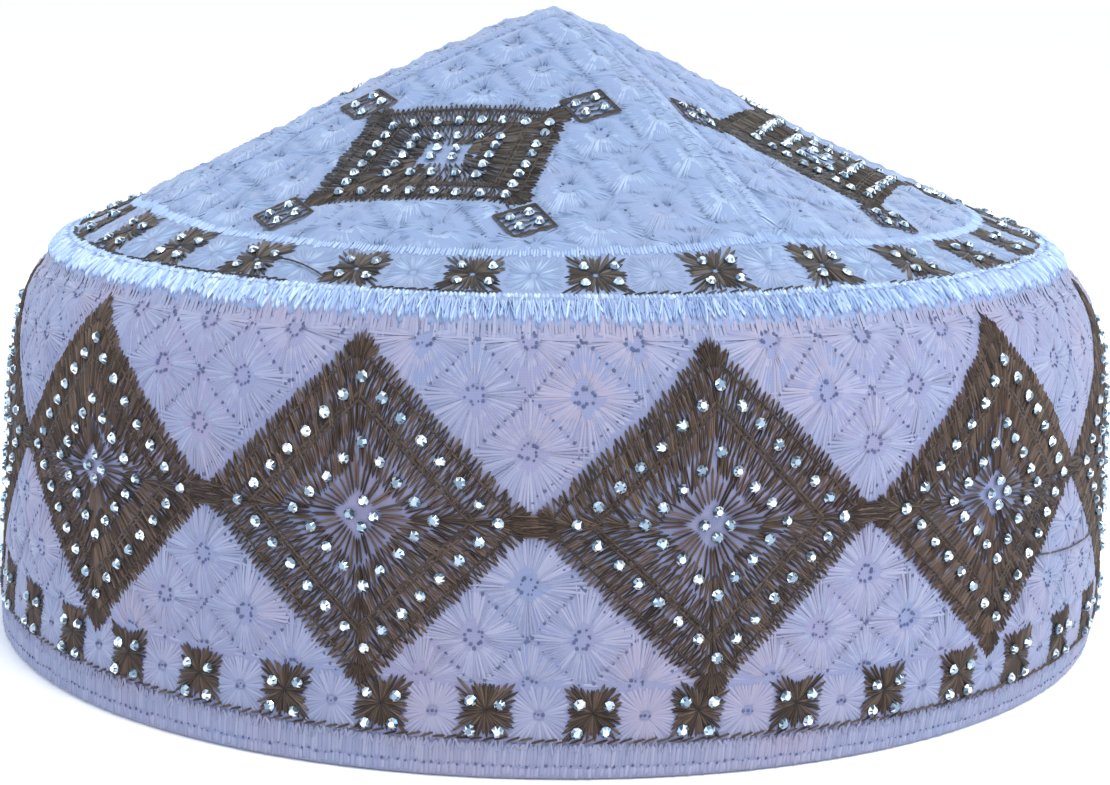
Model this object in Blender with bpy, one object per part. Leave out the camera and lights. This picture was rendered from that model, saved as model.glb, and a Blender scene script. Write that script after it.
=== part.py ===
"""An embroidered kufi: a round quilted band with a crown of four gores that rises to a point.

Metres, +Z up. The cap stands on its hem at z = 0, round the Z axis, with its front towards -Y.
An azimuth is in degrees, counted from the front and growing towards +X.
"""

import math

import bmesh
import bpy
from mathutils import Matrix, Vector

# Cloth and clearances
CLOTH = 0.0026
HEM_CLOTH = 0.0028
GAP = 0.0003
PATCH_CLOTH = 0.0005
LINE_CLOTH = 0.0004
BORDER_RISE = 0.0004
RING_STEPS = 60

# Heights on the band
HEM_TOP = 0.0055
HEM_ROUND = 0.0007
BORDER_FOOT = 0.0612
SEAM_HEIGHT = 0.0648

# The band's outer wall, from the hem up over the shoulder to the crown seam
BAND_PROFILE = (
    # height, radius
    (0.0000, 0.0935),
    (0.0055, 0.0938),
    (0.0200, 0.0933),
    (0.0400, 0.0924),
    (0.0490, 0.0914),
    (0.0550, 0.0897),
    (0.0585, 0.0877),
    (0.0612, 0.0856),
    (0.0648, 0.0820),
)

# The crown, where a share of 0 is the apex and 1 is the seam
APEX_HEIGHT = 0.1026
SEAM_RADIUS = 0.0820
GORES = 4
GORE_TURN = 360 / GORES
FIRST_GORE = -20.0
CROWN_RIM = 0.9965
CROWN_TIP = 0.012
FLATNESS = 0.50
FLATNESS_FADE = 0.42
FLATNESS_POWER = 0.8
GORE_COLUMNS = 12
GORE_ROWS = (CROWN_TIP, 0.08, 0.20, 0.35, 0.50, 0.65, 0.80, 0.91, CROWN_RIM)

# How far the crown bows up between the apex and the seam, along each ridge and the gore after it
RIDGES = (
    # azimuth, ridge lift, gore lift
    (25.0, 0.0030, 0.0006),
    (115.0, 0.0000, 0.0014),
    (205.0, 0.0012, 0.0022),
    (295.0, 0.0025, 0.0025),
)

# The wall's normal on the crown, leaning out from upright
CROWN_TILT = (
    # share, degrees
    (0.00, 0.0),
    (0.12, 25.0),
    (0.85, 25.0),
    (1.00, 44.0),
)

# The cloth isn't quite true: it leans as it rises, to either side of the Z axis
LEAN = (
    # height, to the right, to the front
    (0.0000, -0.0007, 0.0000),
    (0.0120, 0.0003, 0.0000),
    (0.0500, 0.0012, 0.0000),
    (0.0648, 0.0005, 0.0000),
    (0.1026, -0.0005, 0.0020),
)

# The embroidered rows dip to the right by this slope, from the hem up to the shoulder
DIP = 0.0087
DIP_FULL_FROM = 0.006
DIP_FADES_FROM = 0.0505
DIP_ENDS = 0.0655

# Embroidery on the band
DIAMONDS = 12
DIAMOND_TURN = 360 / DIAMONDS
FIRST_DIAMOND = -17.1
DIAMOND_HEIGHT = 0.0357
DIAMOND_HALF_TALL = 0.0241
WINDOW_TIP = 0.0032
WINDOW_WAIST = 0.0011
LOWER_SQUARES = 40
FIRST_LOWER_SQUARE = 3.25
LINE_FOOT = 0.0054
LINE_WIDTH = 0.0008
SQUARE_SIDE = 0.0072
PATTERN_FAN = (
    # height, degrees toward the nearer side, degrees to the right
    (0.0120, -0.9, 0.7),
    (0.0357, 0.0, 0.0),
    (0.0600, 4.4, 0.0),
)

# Embroidery on the crown: half sizes and places as seen from above
CROWN_PATCH_ACROSS = -0.0015
CROWN_PATCH_OUT = 0.0457
CROWN_PATCH_HALF_ACROSS = 0.0168
CROWN_PATCH_HALF_OUT = 0.0120
CROWN_PATCH_TURN = -3.4
CORNER_REACH = 0.0047
CORNER_OVERLAP = 0.0004
CROWN_SQUARES = 7
CROWN_SQUARE_PITCH = GORE_TURN / CROWN_SQUARES
CROWN_SQUARE_WIDTH = 5.2
CROWN_SQUARE_SHIFT = -1.7
CROWN_SQUARE_SIDE = 0.0084
CROWN_LINE_SHARE = 0.984
CROWN_LINE_END = 43.2
RIDGE_STITCH_HALF = 0.0021
RIDGE_STITCH_ROWS = (0.05, 0.14, 0.26, 0.40, 0.55, 0.70, 0.85, 0.93, CROWN_RIM)

COTTON = (0.43, 0.50, 0.74)
BORDER_COTTON = (0.52, 0.62, 0.86)
BROWN_THREAD = (0.075, 0.050, 0.030)


def clear_scene():
    for old in list(bpy.data.objects):
        bpy.data.objects.remove(old)


def read_table(table, value, column=1):
    """The straight-line value of one column of a table whose first column grows."""
    for low, high in zip(table, table[1:]):
        if value <= high[0]:
            share = max(0.0, (value - low[0]) / (high[0] - low[0]))
            return low[column] + share * (high[column] - low[column])
    return table[-1][column]


def at(azimuth, radius, height):
    turn = math.radians(azimuth)
    return Vector((radius * math.sin(turn), -radius * math.cos(turn), height))


def band_normal(height):
    """The outward normal of the band's wall, as its radial and upward shares."""
    if height <= HEM_TOP:
        return 1.0, 0.0
    step = 0.001
    top = min(height + step, SEAM_HEIGHT)
    foot = height - step
    rise = top - foot
    spread = read_table(BAND_PROFILE, top) - read_table(BAND_PROFILE, foot)
    length = math.hypot(rise, spread)
    return rise / length, -spread / length


def on_band(height, proud):
    """Radius and height of a point that stands proud of the band's outer wall."""
    radial, upward = band_normal(height)
    return read_table(BAND_PROFILE, height) + proud * radial, height + proud * upward


def crown_lift(azimuth, off_ridge):
    """How far the crown bows up here at half its slope, easing from a ridge to its gore's middle."""
    number = round((azimuth - off_ridge - RIDGES[0][0]) / GORE_TURN) % GORES
    ridge_lift = RIDGES[number][1]
    gore_lift = RIDGES[number if off_ridge > 0 else number - 1][2]
    toward_ridge = (1 - abs(off_ridge) / (GORE_TURN / 2)) ** 2
    return gore_lift + (ridge_lift - gore_lift) * toward_ridge


def crown_point(azimuth, share, sink):
    """A point of the crown, sunk below its outer face. Each gore is flatter than a cone."""
    off_ridge = (azimuth - RIDGES[0][0] + GORE_TURN / 2) % GORE_TURN - GORE_TURN / 2
    off_middle = GORE_TURN / 2 - abs(off_ridge)
    flat = FLATNESS * min(1.0, (1 - share) / FLATNESS_FADE) ** FLATNESS_POWER
    reach = math.cos(math.radians(GORE_TURN / 2)) / math.cos(math.radians(off_middle))
    bow = crown_lift(azimuth, off_ridge) * 4 * share * (1 - share)
    tilt = math.radians(read_table(CROWN_TILT, share))
    radius = share * SEAM_RADIUS * (1 - flat + flat * reach)
    height = APEX_HEIGHT - (APEX_HEIGHT - SEAM_HEIGHT) * share + bow
    return at(azimuth, radius - sink * math.sin(tilt), height - sink * math.cos(tilt))


def crown_share(azimuth, radius):
    """The share at which the crown's outer face has this radius."""
    share = radius / SEAM_RADIUS
    for _ in range(30):
        found = crown_point(azimuth, share, 0.0)
        share *= radius / math.hypot(found.x, found.y)
    return share


def settle(bm):
    """Leans and dips the true round shape as the real cloth does, and leaves the hem flat."""
    for v in bm.verts:
        height = v.co.z
        fade = min(1.0, height / DIP_FULL_FROM, (DIP_ENDS - height) / (DIP_ENDS - DIP_FADES_FROM))
        v.co.z -= DIP * v.co.x * max(0.0, fade)
        v.co.x += read_table(LEAN, height, 1)
        v.co.y -= read_table(LEAN, height, 2)


def finish_node(name, bm, colour):
    """Turns a mesh into a named object with a material of its own."""
    settle(bm)
    bmesh.ops.triangulate(bm, faces=bm.faces)
    bmesh.ops.recalc_face_normals(bm, faces=bm.faces)
    mesh = bpy.data.meshes.new(name)
    bm.to_mesh(mesh)
    bm.free()
    mesh.shade_smooth()
    mesh.set_sharp_from_angle(angle=math.radians(35))
    node = bpy.data.objects.new(name, mesh)
    bpy.context.scene.collection.objects.link(node)
    material = bpy.data.materials.new(name)
    material.use_nodes = True
    shader = material.node_tree.nodes["Principled BSDF"]
    shader.inputs["Base Color"].default_value = (*colour, 1)
    shader.inputs["Roughness"].default_value = 0.7
    shader.inputs["Metallic"].default_value = 0.0
    mesh.materials.append(material)
    return node


def spin_ring(section, steps, first_azimuth):
    """A closed ring: a section of radius and height points, spun all the way round."""
    bm = bmesh.new()
    points = [bm.verts.new(at(first_azimuth, radius, height)) for radius, height in section]
    edges = [bm.edges.new(pair) for pair in zip(points, points[1:] + points[:1])]
    bmesh.ops.spin(
        bm,
        geom=points + edges,
        cent=(0, 0, 0),
        axis=(0, 0, 1),
        angle=math.tau,
        steps=steps,
        use_merge=True,
    )
    return bm


def wall_section(foot, top, proud, thickness):
    """The section of a stretch of the band's wall: up its outer face and down its inner one."""
    between = [row[0] for row in BAND_PROFILE if foot < row[0] < top]
    heights = [foot, *between, top]
    outer = [on_band(height, proud) for height in heights]
    inner = [on_band(height, proud - thickness) for height in reversed(heights)]
    return outer + inner


def make_hem():
    outer = read_table(BAND_PROFILE, 0)
    inner = outer - HEM_CLOTH
    section = (
        (outer - HEM_ROUND, 0),
        (outer, HEM_ROUND),
        (read_table(BAND_PROFILE, HEM_TOP), HEM_TOP),
        (inner, HEM_TOP),
        (inner, HEM_ROUND),
        (inner + HEM_ROUND, 0),
    )
    ring = spin_ring(section, RING_STEPS, FIRST_DIAMOND + DIAMOND_TURN / 10)
    finish_node("hem_border", ring, BORDER_COTTON)


def make_band():
    section = wall_section(HEM_TOP + GAP, BORDER_FOOT - GAP, 0.0, CLOTH)
    ring = spin_ring(section, RING_STEPS, FIRST_DIAMOND + DIAMOND_TURN / 10)
    finish_node("side_band", ring, COTTON)


def make_top_border():
    """The stitched border on the shoulder, with its upper edge rolled in to the crown seam."""
    section = wall_section(BORDER_FOOT, SEAM_HEIGHT, 0.0, CLOTH)
    middle = (BORDER_FOOT + SEAM_HEIGHT) / 2
    section.insert(1, on_band(middle, BORDER_RISE))
    section.insert(1, on_band(BORDER_FOOT + BORDER_RISE, BORDER_RISE))
    ring = spin_ring(section, RING_STEPS, FIRST_DIAMOND + DIAMOND_TURN / 10)
    finish_node("top_border", ring, BORDER_COTTON)


def slab(columns, rows):
    """A closed slab of cells: x counts columns, y counts rows, and z is 0 below and 1 above."""
    bm = bmesh.new()
    bmesh.ops.create_grid(bm, x_segments=columns, y_segments=rows, size=0.5)
    bmesh.ops.translate(bm, verts=bm.verts, vec=(0.5, 0.5, 0))
    bmesh.ops.scale(bm, verts=bm.verts, vec=(columns, rows, 1))
    raised = bmesh.ops.extrude_face_region(bm, geom=bm.faces[:])["geom"]
    lifted = [v for v in raised if isinstance(v, bmesh.types.BMVert)]
    bmesh.ops.translate(bm, verts=lifted, vec=(0, 0, 1))
    return bm


def make_gore(number):
    middle = FIRST_GORE + number * GORE_TURN
    bm = slab(GORE_COLUMNS, len(GORE_ROWS) - 1)
    for v in bm.verts:
        share = GORE_ROWS[round(v.co.y)]
        side_gap = math.degrees(math.asin(GAP / 2 / (share * SEAM_RADIUS)))
        half_turn = GORE_TURN / 2 - side_gap
        azimuth = middle + (2 * v.co.x / GORE_COLUMNS - 1) * half_turn
        v.co = crown_point(azimuth, share, CLOTH * (1 - v.co.z))
    finish_node(f"crown_gore_{number + 1}", bm, COTTON)


def make_ridge_stitching(number):
    """The strip of stitches that covers the seam between two gores, bent over their ridge."""
    ridge = RIDGES[number][0]
    bm = slab(2, len(RIDGE_STITCH_ROWS) - 1)
    for v in bm.verts:
        share = RIDGE_STITCH_ROWS[round(v.co.y)]
        reach = math.degrees(RIDGE_STITCH_HALF / (share * SEAM_RADIUS))
        azimuth = ridge + (v.co.x - 1) * reach
        v.co = crown_point(azimuth, share, -GAP - LINE_CLOTH * v.co.z)
    finish_node(f"crown_ridge_{number + 1}", bm, BORDER_COTTON)


def plate(outline, window, cuts_across, cuts_along):
    """A flat closed plate with a window, cut into strips so that it can bend. Its z is 0 or 1."""
    bm = bmesh.new()
    edges = []
    for loop in (outline, window):
        points = [bm.verts.new((x, y, 0)) for x, y in loop]
        edges += [bm.edges.new(pair) for pair in zip(points, points[1:] + points[:1])]
    bmesh.ops.triangle_fill(bm, use_beauty=True, edges=edges)
    bmesh.ops.dissolve_limit(bm, angle_limit=0.01, verts=bm.verts, edges=bm.edges)
    raised = bmesh.ops.extrude_face_region(bm, geom=bm.faces[:])["geom"]
    lifted = [v for v in raised if isinstance(v, bmesh.types.BMVert)]
    bmesh.ops.translate(bm, verts=lifted, vec=(0, 0, 1))
    cuts = [((x, 0, 0), (1, 0, 0)) for x in cuts_across] + [((0, y, 0), (0, 1, 0)) for y in cuts_along]
    for place, direction in cuts:
        whole = bm.verts[:] + bm.edges[:] + bm.faces[:]
        bmesh.ops.bisect_plane(bm, geom=whole, dist=1e-6, plane_co=place, plane_no=direction)
    return bm


def star_window(tip_x, tip_y):
    """The four-pointed star that the stitches leave bare at the middle of a motif."""
    waist_x = WINDOW_WAIST * tip_x / WINDOW_TIP
    waist_y = WINDOW_WAIST * tip_y / WINDOW_TIP
    return (
        (tip_x, 0),
        (waist_x, waist_y),
        (0, tip_y),
        (-waist_x, waist_y),
        (-tip_x, 0),
        (-waist_x, -waist_y),
        (0, -tip_y),
        (waist_x, -waist_y),
    )


def fan_out(bm):
    """Turns a motif on the band toward the nearer side, most of all at its top, where cloth is eased in."""
    for v in bm.verts:
        azimuth = math.atan2(v.co.x, -v.co.y)
        toward_side = math.sin(2 * azimuth) * (1 - 0.75 * math.cos(azimuth) ** 2)
        turn = read_table(PATTERN_FAN, v.co.z) * toward_side + read_table(PATTERN_FAN, v.co.z, 2)
        v.co = Matrix.Rotation(math.radians(turn), 3, "Z") @ v.co


def make_diamond(number):
    """One diamond of dense brown stitches, as flat work bent to the wall.

    Its lower point is blunt, because it stops at the row of small squares.
    """
    widest = read_table(BAND_PROFILE, DIAMOND_HEIGHT)
    half_wide = widest * math.radians(DIAMOND_TURN / 2) - GAP / 2
    squares_top = LINE_FOOT + LINE_WIDTH + SQUARE_SIDE + GAP
    blunt = DIAMOND_HALF_TALL - (DIAMOND_HEIGHT - squares_top)
    outline = (
        (half_wide, 0),
        (0, DIAMOND_HALF_TALL),
        (-half_wide, 0),
        (-blunt, blunt - DIAMOND_HALF_TALL),
        (blunt, blunt - DIAMOND_HALF_TALL),
    )
    facet = widest * math.tau / RING_STEPS
    cuts_across = [facet * (step - 1.5) for step in range(4)]
    top = DIAMOND_HEIGHT + DIAMOND_HALF_TALL
    foot = DIAMOND_HEIGHT - DIAMOND_HALF_TALL
    cuts_along = [row[0] - DIAMOND_HEIGHT for row in BAND_PROFILE if foot < row[0] < top]
    bm = plate(outline, star_window(WINDOW_TIP, WINDOW_TIP), cuts_across, cuts_along)
    middle = FIRST_DIAMOND + number * DIAMOND_TURN
    for v in bm.verts:
        radius, height = on_band(DIAMOND_HEIGHT + v.co.y, GAP + PATCH_CLOTH * v.co.z)
        v.co = at(middle + math.degrees(v.co.x / widest), radius, height)
    fan_out(bm)
    finish_node(f"band_diamond_{number + 1:02d}", bm, BROWN_THREAD)


def make_lower_squares():
    """The running line above the hem, which joins the row of small squares standing on it."""
    inner = read_table(BAND_PROFILE, LINE_FOOT) + GAP
    outer = inner + LINE_CLOTH
    line_top = LINE_FOOT + LINE_WIDTH
    section = ((outer, LINE_FOOT), (outer, line_top), (inner, line_top), (inner, LINE_FOOT))
    half_pitch = 180 / LOWER_SQUARES
    bm = spin_ring(section, 2 * LOWER_SQUARES, FIRST_LOWER_SQUARE - half_pitch / 2)
    bmesh.ops.recalc_face_normals(bm, faces=bm.faces)
    tops = []
    for face in bm.faces:
        middle = face.calc_center_median()
        azimuth = math.degrees(math.atan2(middle.x, -middle.y))
        cell = round((azimuth - FIRST_LOWER_SQUARE) / half_pitch)
        if face.normal.z > 0.9 and cell % 2 == 0:
            tops.append(face)
    grown = bmesh.ops.extrude_discrete_faces(bm, faces=tops)["faces"]
    lifted = {v for face in grown for v in face.verts}
    bmesh.ops.translate(bm, verts=list(lifted), vec=(0, 0, SQUARE_SIDE))
    fan_out(bm)
    finish_node("lower_square_row", bm, BROWN_THREAD)


def crown_patch_outline():
    """A square with a small one turned half a quarter and joined on each corner, seen from above."""
    side_x = CROWN_PATCH_HALF_ACROSS
    side_y = CROWN_PATCH_HALF_OUT
    middle_x = side_x + CORNER_REACH / 2 - CORNER_OVERLAP
    middle_y = side_y + CORNER_REACH / 2 - CORNER_OVERLAP
    corner = (
        (side_x, side_y - 2 * CORNER_OVERLAP),
        (middle_x, middle_y - CORNER_REACH),
        (middle_x + CORNER_REACH, middle_y),
        (middle_x, middle_y + CORNER_REACH),
        (middle_x - CORNER_REACH, middle_y),
        (side_x - 2 * CORNER_OVERLAP, side_y),
    )
    outline = []
    for turn_x, turn_y in ((1, 1), (-1, 1), (-1, -1), (1, -1)):
        points = [(x * turn_x, y * turn_y) for x, y in corner]
        outline += points if turn_x == turn_y else points[::-1]
    return outline


def make_crown_diamond(number):
    """The crown's motif: the band's diamond turned to a square, with a small square at each corner."""
    quarters_x = [CROWN_PATCH_HALF_ACROSS * step / 2 for step in (-2, -1, 0, 1, 2)]
    quarters_y = [CROWN_PATCH_HALF_OUT * step / 2 for step in (-2, -1, 0, 1, 2)]
    window = star_window(WINDOW_TIP, WINDOW_TIP * CROWN_PATCH_HALF_OUT / CROWN_PATCH_HALF_ACROSS)
    bm = plate(crown_patch_outline(), window, quarters_x, quarters_y)
    turn = Matrix.Rotation(math.radians(-CROWN_PATCH_TURN), 2)
    middle = FIRST_GORE + number * GORE_TURN
    for v in bm.verts:
        flat = turn @ v.co.xy
        across = CROWN_PATCH_ACROSS + flat.x
        out = CROWN_PATCH_OUT + flat.y
        azimuth = middle + math.degrees(math.atan2(across, out))
        share = crown_share(azimuth, math.hypot(across, out))
        v.co = crown_point(azimuth, share, -GAP - PATCH_CLOTH * v.co.z)
    finish_node(f"crown_diamond_{number + 1}", bm, BROWN_THREAD)


def make_crown_squares(number):
    """The running line at the foot of one gore, with its row of small squares."""
    middle = FIRST_GORE + number * GORE_TURN
    edges = [-CROWN_LINE_END]
    for square in range(CROWN_SQUARES):
        place = CROWN_SQUARE_SHIFT + (square - (CROWN_SQUARES - 1) / 2) * CROWN_SQUARE_PITCH
        edges += [place - CROWN_SQUARE_WIDTH / 2, place + CROWN_SQUARE_WIDTH / 2]
    edges.append(CROWN_LINE_END)
    bm = slab(len(edges) - 1, 1)
    bmesh.ops.recalc_face_normals(bm, faces=bm.faces)
    inner_sides = [f for f in bm.faces if f.normal.y > 0.9 and int(f.calc_center_median().x) % 2 == 1]
    grown = bmesh.ops.extrude_discrete_faces(bm, faces=inner_sides)["faces"]
    lifted = {v for face in grown for v in face.verts}
    bmesh.ops.translate(bm, verts=list(lifted), vec=(0, 1, 0))
    slope_length = math.hypot(SEAM_RADIUS, APEX_HEIGHT - SEAM_HEIGHT)
    line_inner = CROWN_LINE_SHARE - LINE_WIDTH / slope_length
    shares = (CROWN_LINE_SHARE, line_inner, line_inner - CROWN_SQUARE_SIDE / slope_length)
    for v in bm.verts:
        azimuth = middle + edges[round(v.co.x)]
        v.co = crown_point(azimuth, shares[round(v.co.y)], -GAP - LINE_CLOTH * v.co.z)
    finish_node(f"crown_square_row_{number + 1}", bm, BROWN_THREAD)


clear_scene()
make_hem()
make_band()
make_top_border()
make_lower_squares()
for diamond in range(DIAMONDS):
    make_diamond(diamond)
for gore in range(GORES):
    make_gore(gore)
    make_ridge_stitching(gore)
    make_crown_diamond(gore)
    make_crown_squares(gore)
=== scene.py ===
# %% [markdown]
# A kufi, sewn stitch by stitch
#
# A kufi is a round cap of quilted cotton: a band that stands on its hem, and a crown of four gores.
# Nearly all that the eye sees is thread. It could be painted on a smooth cap, but real stitches stand
# proud and catch the light one by one, so this lesson shapes the cloth first and then sews on it.
# The solids of the cap are loaded as a fixed frame, and every piece made here lies on them.

# %% Load the frame
import math

import bmesh
import bpy
import numpy as np
from mathutils import Matrix, Vector


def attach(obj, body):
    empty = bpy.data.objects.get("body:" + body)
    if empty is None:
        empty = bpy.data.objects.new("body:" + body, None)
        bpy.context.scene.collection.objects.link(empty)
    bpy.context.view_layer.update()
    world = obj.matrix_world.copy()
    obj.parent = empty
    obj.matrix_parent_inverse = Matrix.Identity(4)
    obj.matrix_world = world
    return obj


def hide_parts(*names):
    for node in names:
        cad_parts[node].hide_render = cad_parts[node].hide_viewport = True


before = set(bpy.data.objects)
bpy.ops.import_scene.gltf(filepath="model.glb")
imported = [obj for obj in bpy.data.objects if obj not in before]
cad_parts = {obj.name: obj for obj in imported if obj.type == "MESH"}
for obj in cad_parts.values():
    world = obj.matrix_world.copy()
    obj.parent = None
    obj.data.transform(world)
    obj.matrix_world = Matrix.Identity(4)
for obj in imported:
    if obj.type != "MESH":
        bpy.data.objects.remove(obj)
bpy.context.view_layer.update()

chance = np.random.default_rng(7)
print("solids:", len(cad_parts))

# %% [markdown]
# The shape of the wall
#
# The band's wall is nearly upright, and bends in over the shoulder. Each point could be found on the
# frame's own mesh with a ray, but a table of radii is quicker, and the same sizes made the solids.
# The functions take whole arrays, because tens of thousands of stitches are placed with them.

# %% The band's wall
HEM_TOP = 0.0055
SEAM_HEIGHT = 0.0648
BAND_PROFILE = np.array((
    # height, radius
    (-0.0020, 0.0934),
    (0.0000, 0.0935),
    (0.0055, 0.0938),
    (0.0200, 0.0933),
    (0.0400, 0.0924),
    (0.0490, 0.0914),
    (0.0550, 0.0897),
    (0.0585, 0.0877),
    (0.0612, 0.0856),
    (0.0648, 0.0820),
    (0.0668, 0.0800),
))
PATTERN_RADIUS = 0.0926
WAY_ROUND = math.tau * PATTERN_RADIUS
ROUNDING = (-0.0014, -0.0007, 0.0, 0.0007, 0.0014)


def wall_radius(height):
    """The band's outer radius, with the table's corners rounded off."""
    found = [np.interp(height + shift, BAND_PROFILE[:, 0], BAND_PROFILE[:, 1]) for shift in ROUNDING]
    return np.mean(found, axis=0)


def ring_point(turn, radius, height):
    return np.stack((radius * np.sin(turn), -radius * np.cos(turn), height), axis=-1)


print(f"way round the band: {WAY_ROUND * 1000:.0f} mm")

# %% [markdown]
# The pattern is drawn flat, with x running round the band and y up it, and is then laid on the wall.
# On the real cap it isn't quite even, because the cloth was eased over the shoulder. The drawing could
# be made uneven itself, but it stays simpler when one placing function spreads it on its way.

# %% Laying the pattern on the band
PATTERN_FAN = np.array((
    # height, degrees toward the nearer side, degrees to the right
    (0.0120, -0.9, 0.7),
    (0.0357, 0.0, 0.0),
    (0.0600, 4.4, 0.0),
))
FRONT_HOLD = 0.75
SLOPE_STEP = 0.001


def fan_out(turn, height):
    """Eases the pattern toward the nearer side, most of all at the shoulder and least in front."""
    toward_side = np.sin(2 * turn) * (1 - FRONT_HOLD * np.cos(turn) ** 2)
    degrees = np.interp(height, PATTERN_FAN[:, 0], PATTERN_FAN[:, 1]) * toward_side
    degrees += np.interp(height, PATTERN_FAN[:, 0], PATTERN_FAN[:, 2])
    return turn + np.radians(degrees)


def on_band(x, y, proud):
    """A point of the band: x runs round it, y is its height, and proud stands off the cloth."""
    spread = wall_radius(y + SLOPE_STEP) - wall_radius(y - SLOPE_STEP)
    length = np.hypot(2 * SLOPE_STEP, spread)
    upright = y <= HEM_TOP
    outward = np.where(upright, 1.0, 2 * SLOPE_STEP / length)
    upward = np.where(upright, 0.0, -spread / length)
    turn = fan_out(x / PATTERN_RADIUS, y)
    return ring_point(turn, wall_radius(y) + proud * outward, y + proud * upward)


front = on_band(np.array([0.0]), np.array([0.02]), np.array([0.0]))[0]
print("a point at the front:", front.round(4))

# %% [markdown]
# The crown's slope
#
# Four gores rise to one point. Toward the top each gore flattens between its seams, so that a level
# cut there is nearly a square, and each seam bows up by its own amount. A plain cone would miss both,
# so a point is given by its turn round the cap and its share of the way down from the apex.

# %% The crown's slope
APEX_HEIGHT = 0.1026
SEAM_RADIUS = 0.0820
GORES = 4
GORE_TURN = math.tau / GORES
FIRST_GORE = math.radians(-20)
FIRST_RIDGE = math.radians(25)
RIDGE_LIFT = np.array((0.0030, 0.0000, 0.0012, 0.0025))
GORE_LIFT = np.array((0.0006, 0.0014, 0.0022, 0.0025))
CROWN_TILT = np.array((
    # share of the way down, degrees that the cloth faces outwards
    (0.00, 0.0),
    (0.12, 25.0),
    (0.85, 25.0),
    (1.00, 44.0),
))
FLATNESS = 0.50
FLATNESS_FADE = 0.42
FLATNESS_POWER = 0.8


def on_crown(turn, share, proud):
    """A point of the crown: share is 0 at the apex and 1 at the seam."""
    off_ridge = (turn - FIRST_RIDGE + GORE_TURN / 2) % GORE_TURN - GORE_TURN / 2
    off_middle = GORE_TURN / 2 - abs(off_ridge)
    number = np.round((turn - off_ridge - FIRST_RIDGE) / GORE_TURN).astype(int) % GORES
    beside = np.where(off_ridge > 0, number, number - 1)
    toward_ridge = (1 - abs(off_ridge) / (GORE_TURN / 2)) ** 2
    lift = GORE_LIFT[beside] + (RIDGE_LIFT[number] - GORE_LIFT[beside]) * toward_ridge
    flat = FLATNESS * np.clip((1 - share) / FLATNESS_FADE, 0, 1) ** FLATNESS_POWER
    reach = math.cos(GORE_TURN / 2) / np.cos(off_middle)
    tilt = np.radians(np.interp(share, CROWN_TILT[:, 0], CROWN_TILT[:, 1]))
    radius = share * SEAM_RADIUS * (1 - flat + flat * reach)
    height = APEX_HEIGHT - (APEX_HEIGHT - SEAM_HEIGHT) * share + lift * 4 * share * (1 - share)
    return ring_point(turn, radius + proud * np.sin(tilt), height + proud * np.cos(tilt))


print(f"crown: {APEX_HEIGHT - SEAM_HEIGHT:.4f} m tall")

# %% [markdown]
# A gore's pattern is drawn as it looks from above, so that its squares stay square, while the slope
# counts in shares of the way down. The formula for the slope can't be turned round by hand, so a
# few rounds of correction find the share that has the right radius.

# %% Placing on a gore
GORE_ROUNDS = 8


def share_at(turn, radius, rounds):
    """The share of the way down at which the crown has this radius."""
    share = radius / SEAM_RADIUS
    for _ in range(rounds):
        found = on_crown(turn, share, 0 * share)
        share = share * radius / np.hypot(found[..., 0], found[..., 1])
    return share


def on_gore(number):
    """Placing for one gore: x runs across it and y out from the apex, as seen from above."""
    def place(x, y, proud):
        turn = FIRST_GORE + number * GORE_TURN + np.arctan2(x, y)
        return on_crown(turn, share_at(turn, np.hypot(x, y), GORE_ROUNDS), proud)
    return place


print("gores:", GORES)

# %% [markdown]
# A worn cap isn't quite true: it leans a little, and its rows dip to one side. A Lattice modifier
# could bend it, but every piece has to keep its finished place in its own mesh, so one small
# function moves the points, and all the cloth and all the stitches go through it.

# %% How the cloth settles
LEAN = np.array((
    # height, to the right, to the front
    (0.0000, -0.0007, 0.0000),
    (0.0120, 0.0003, 0.0000),
    (0.0500, 0.0012, 0.0000),
    (0.0648, 0.0005, 0.0000),
    (0.1026, -0.0005, 0.0020),
))
DIP = 0.0087
DIP_FULL_FROM = 0.006
DIP_FADES_FROM = 0.0505
DIP_ENDS = 0.0655


def settle(points):
    """Leans and dips the true round shape, as the real cloth does."""
    height = points[:, 2].copy()
    fade = np.minimum(height / DIP_FULL_FROM, (DIP_ENDS - height) / (DIP_ENDS - DIP_FADES_FROM))
    points[:, 2] -= DIP * points[:, 0] * np.clip(fade, 0, 1)
    points[:, 0] += np.interp(height, LEAN[:, 0], LEAN[:, 1])
    points[:, 1] -= np.interp(height, LEAN[:, 0], LEAN[:, 2])
    return points


print("dip across the cap:", round(2 * DIP * PATTERN_RADIUS * 1000, 2), "mm")

# %% [markdown]
# Materials
#
# Cotton, satin thread and foil-backed glass are made from nodes, without pictures. A node tree could
# be built by hand in the editor. Written out, each node takes several lines, so a few helpers make
# one node in one line, and the recipes for the finishes stay short enough to read.

# %% Helpers for node trees
def new_look(name, **sockets):
    look = bpy.data.materials.new(name)
    look.use_nodes = True
    shader = look.node_tree.nodes["Principled BSDF"]
    for socket, value in sockets.items():
        shader.inputs[socket.replace("_", " ")].default_value = value
    return look


def add(look, kind, settings=None, **sockets):
    """Adds a node. A socket is given a value, or another node's output to be joined to."""
    node = look.node_tree.nodes.new(kind)
    for setting, value in (settings or {}).items():
        setattr(node, setting, value)
    for socket, value in sockets.items():
        entry = node.inputs[int(socket[1:]) if socket[1:].isdigit() else socket.replace("_", " ")]
        if isinstance(value, bpy.types.NodeSocket):
            look.node_tree.links.new(value, entry)
        else:
            entry.default_value = value
    return node.outputs[0]


def maths(look, operation, first, second=0.0):
    return add(look, "ShaderNodeMath", {"operation": operation}, i0=first, i1=second)


print("helpers for nodes are ready")

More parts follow.
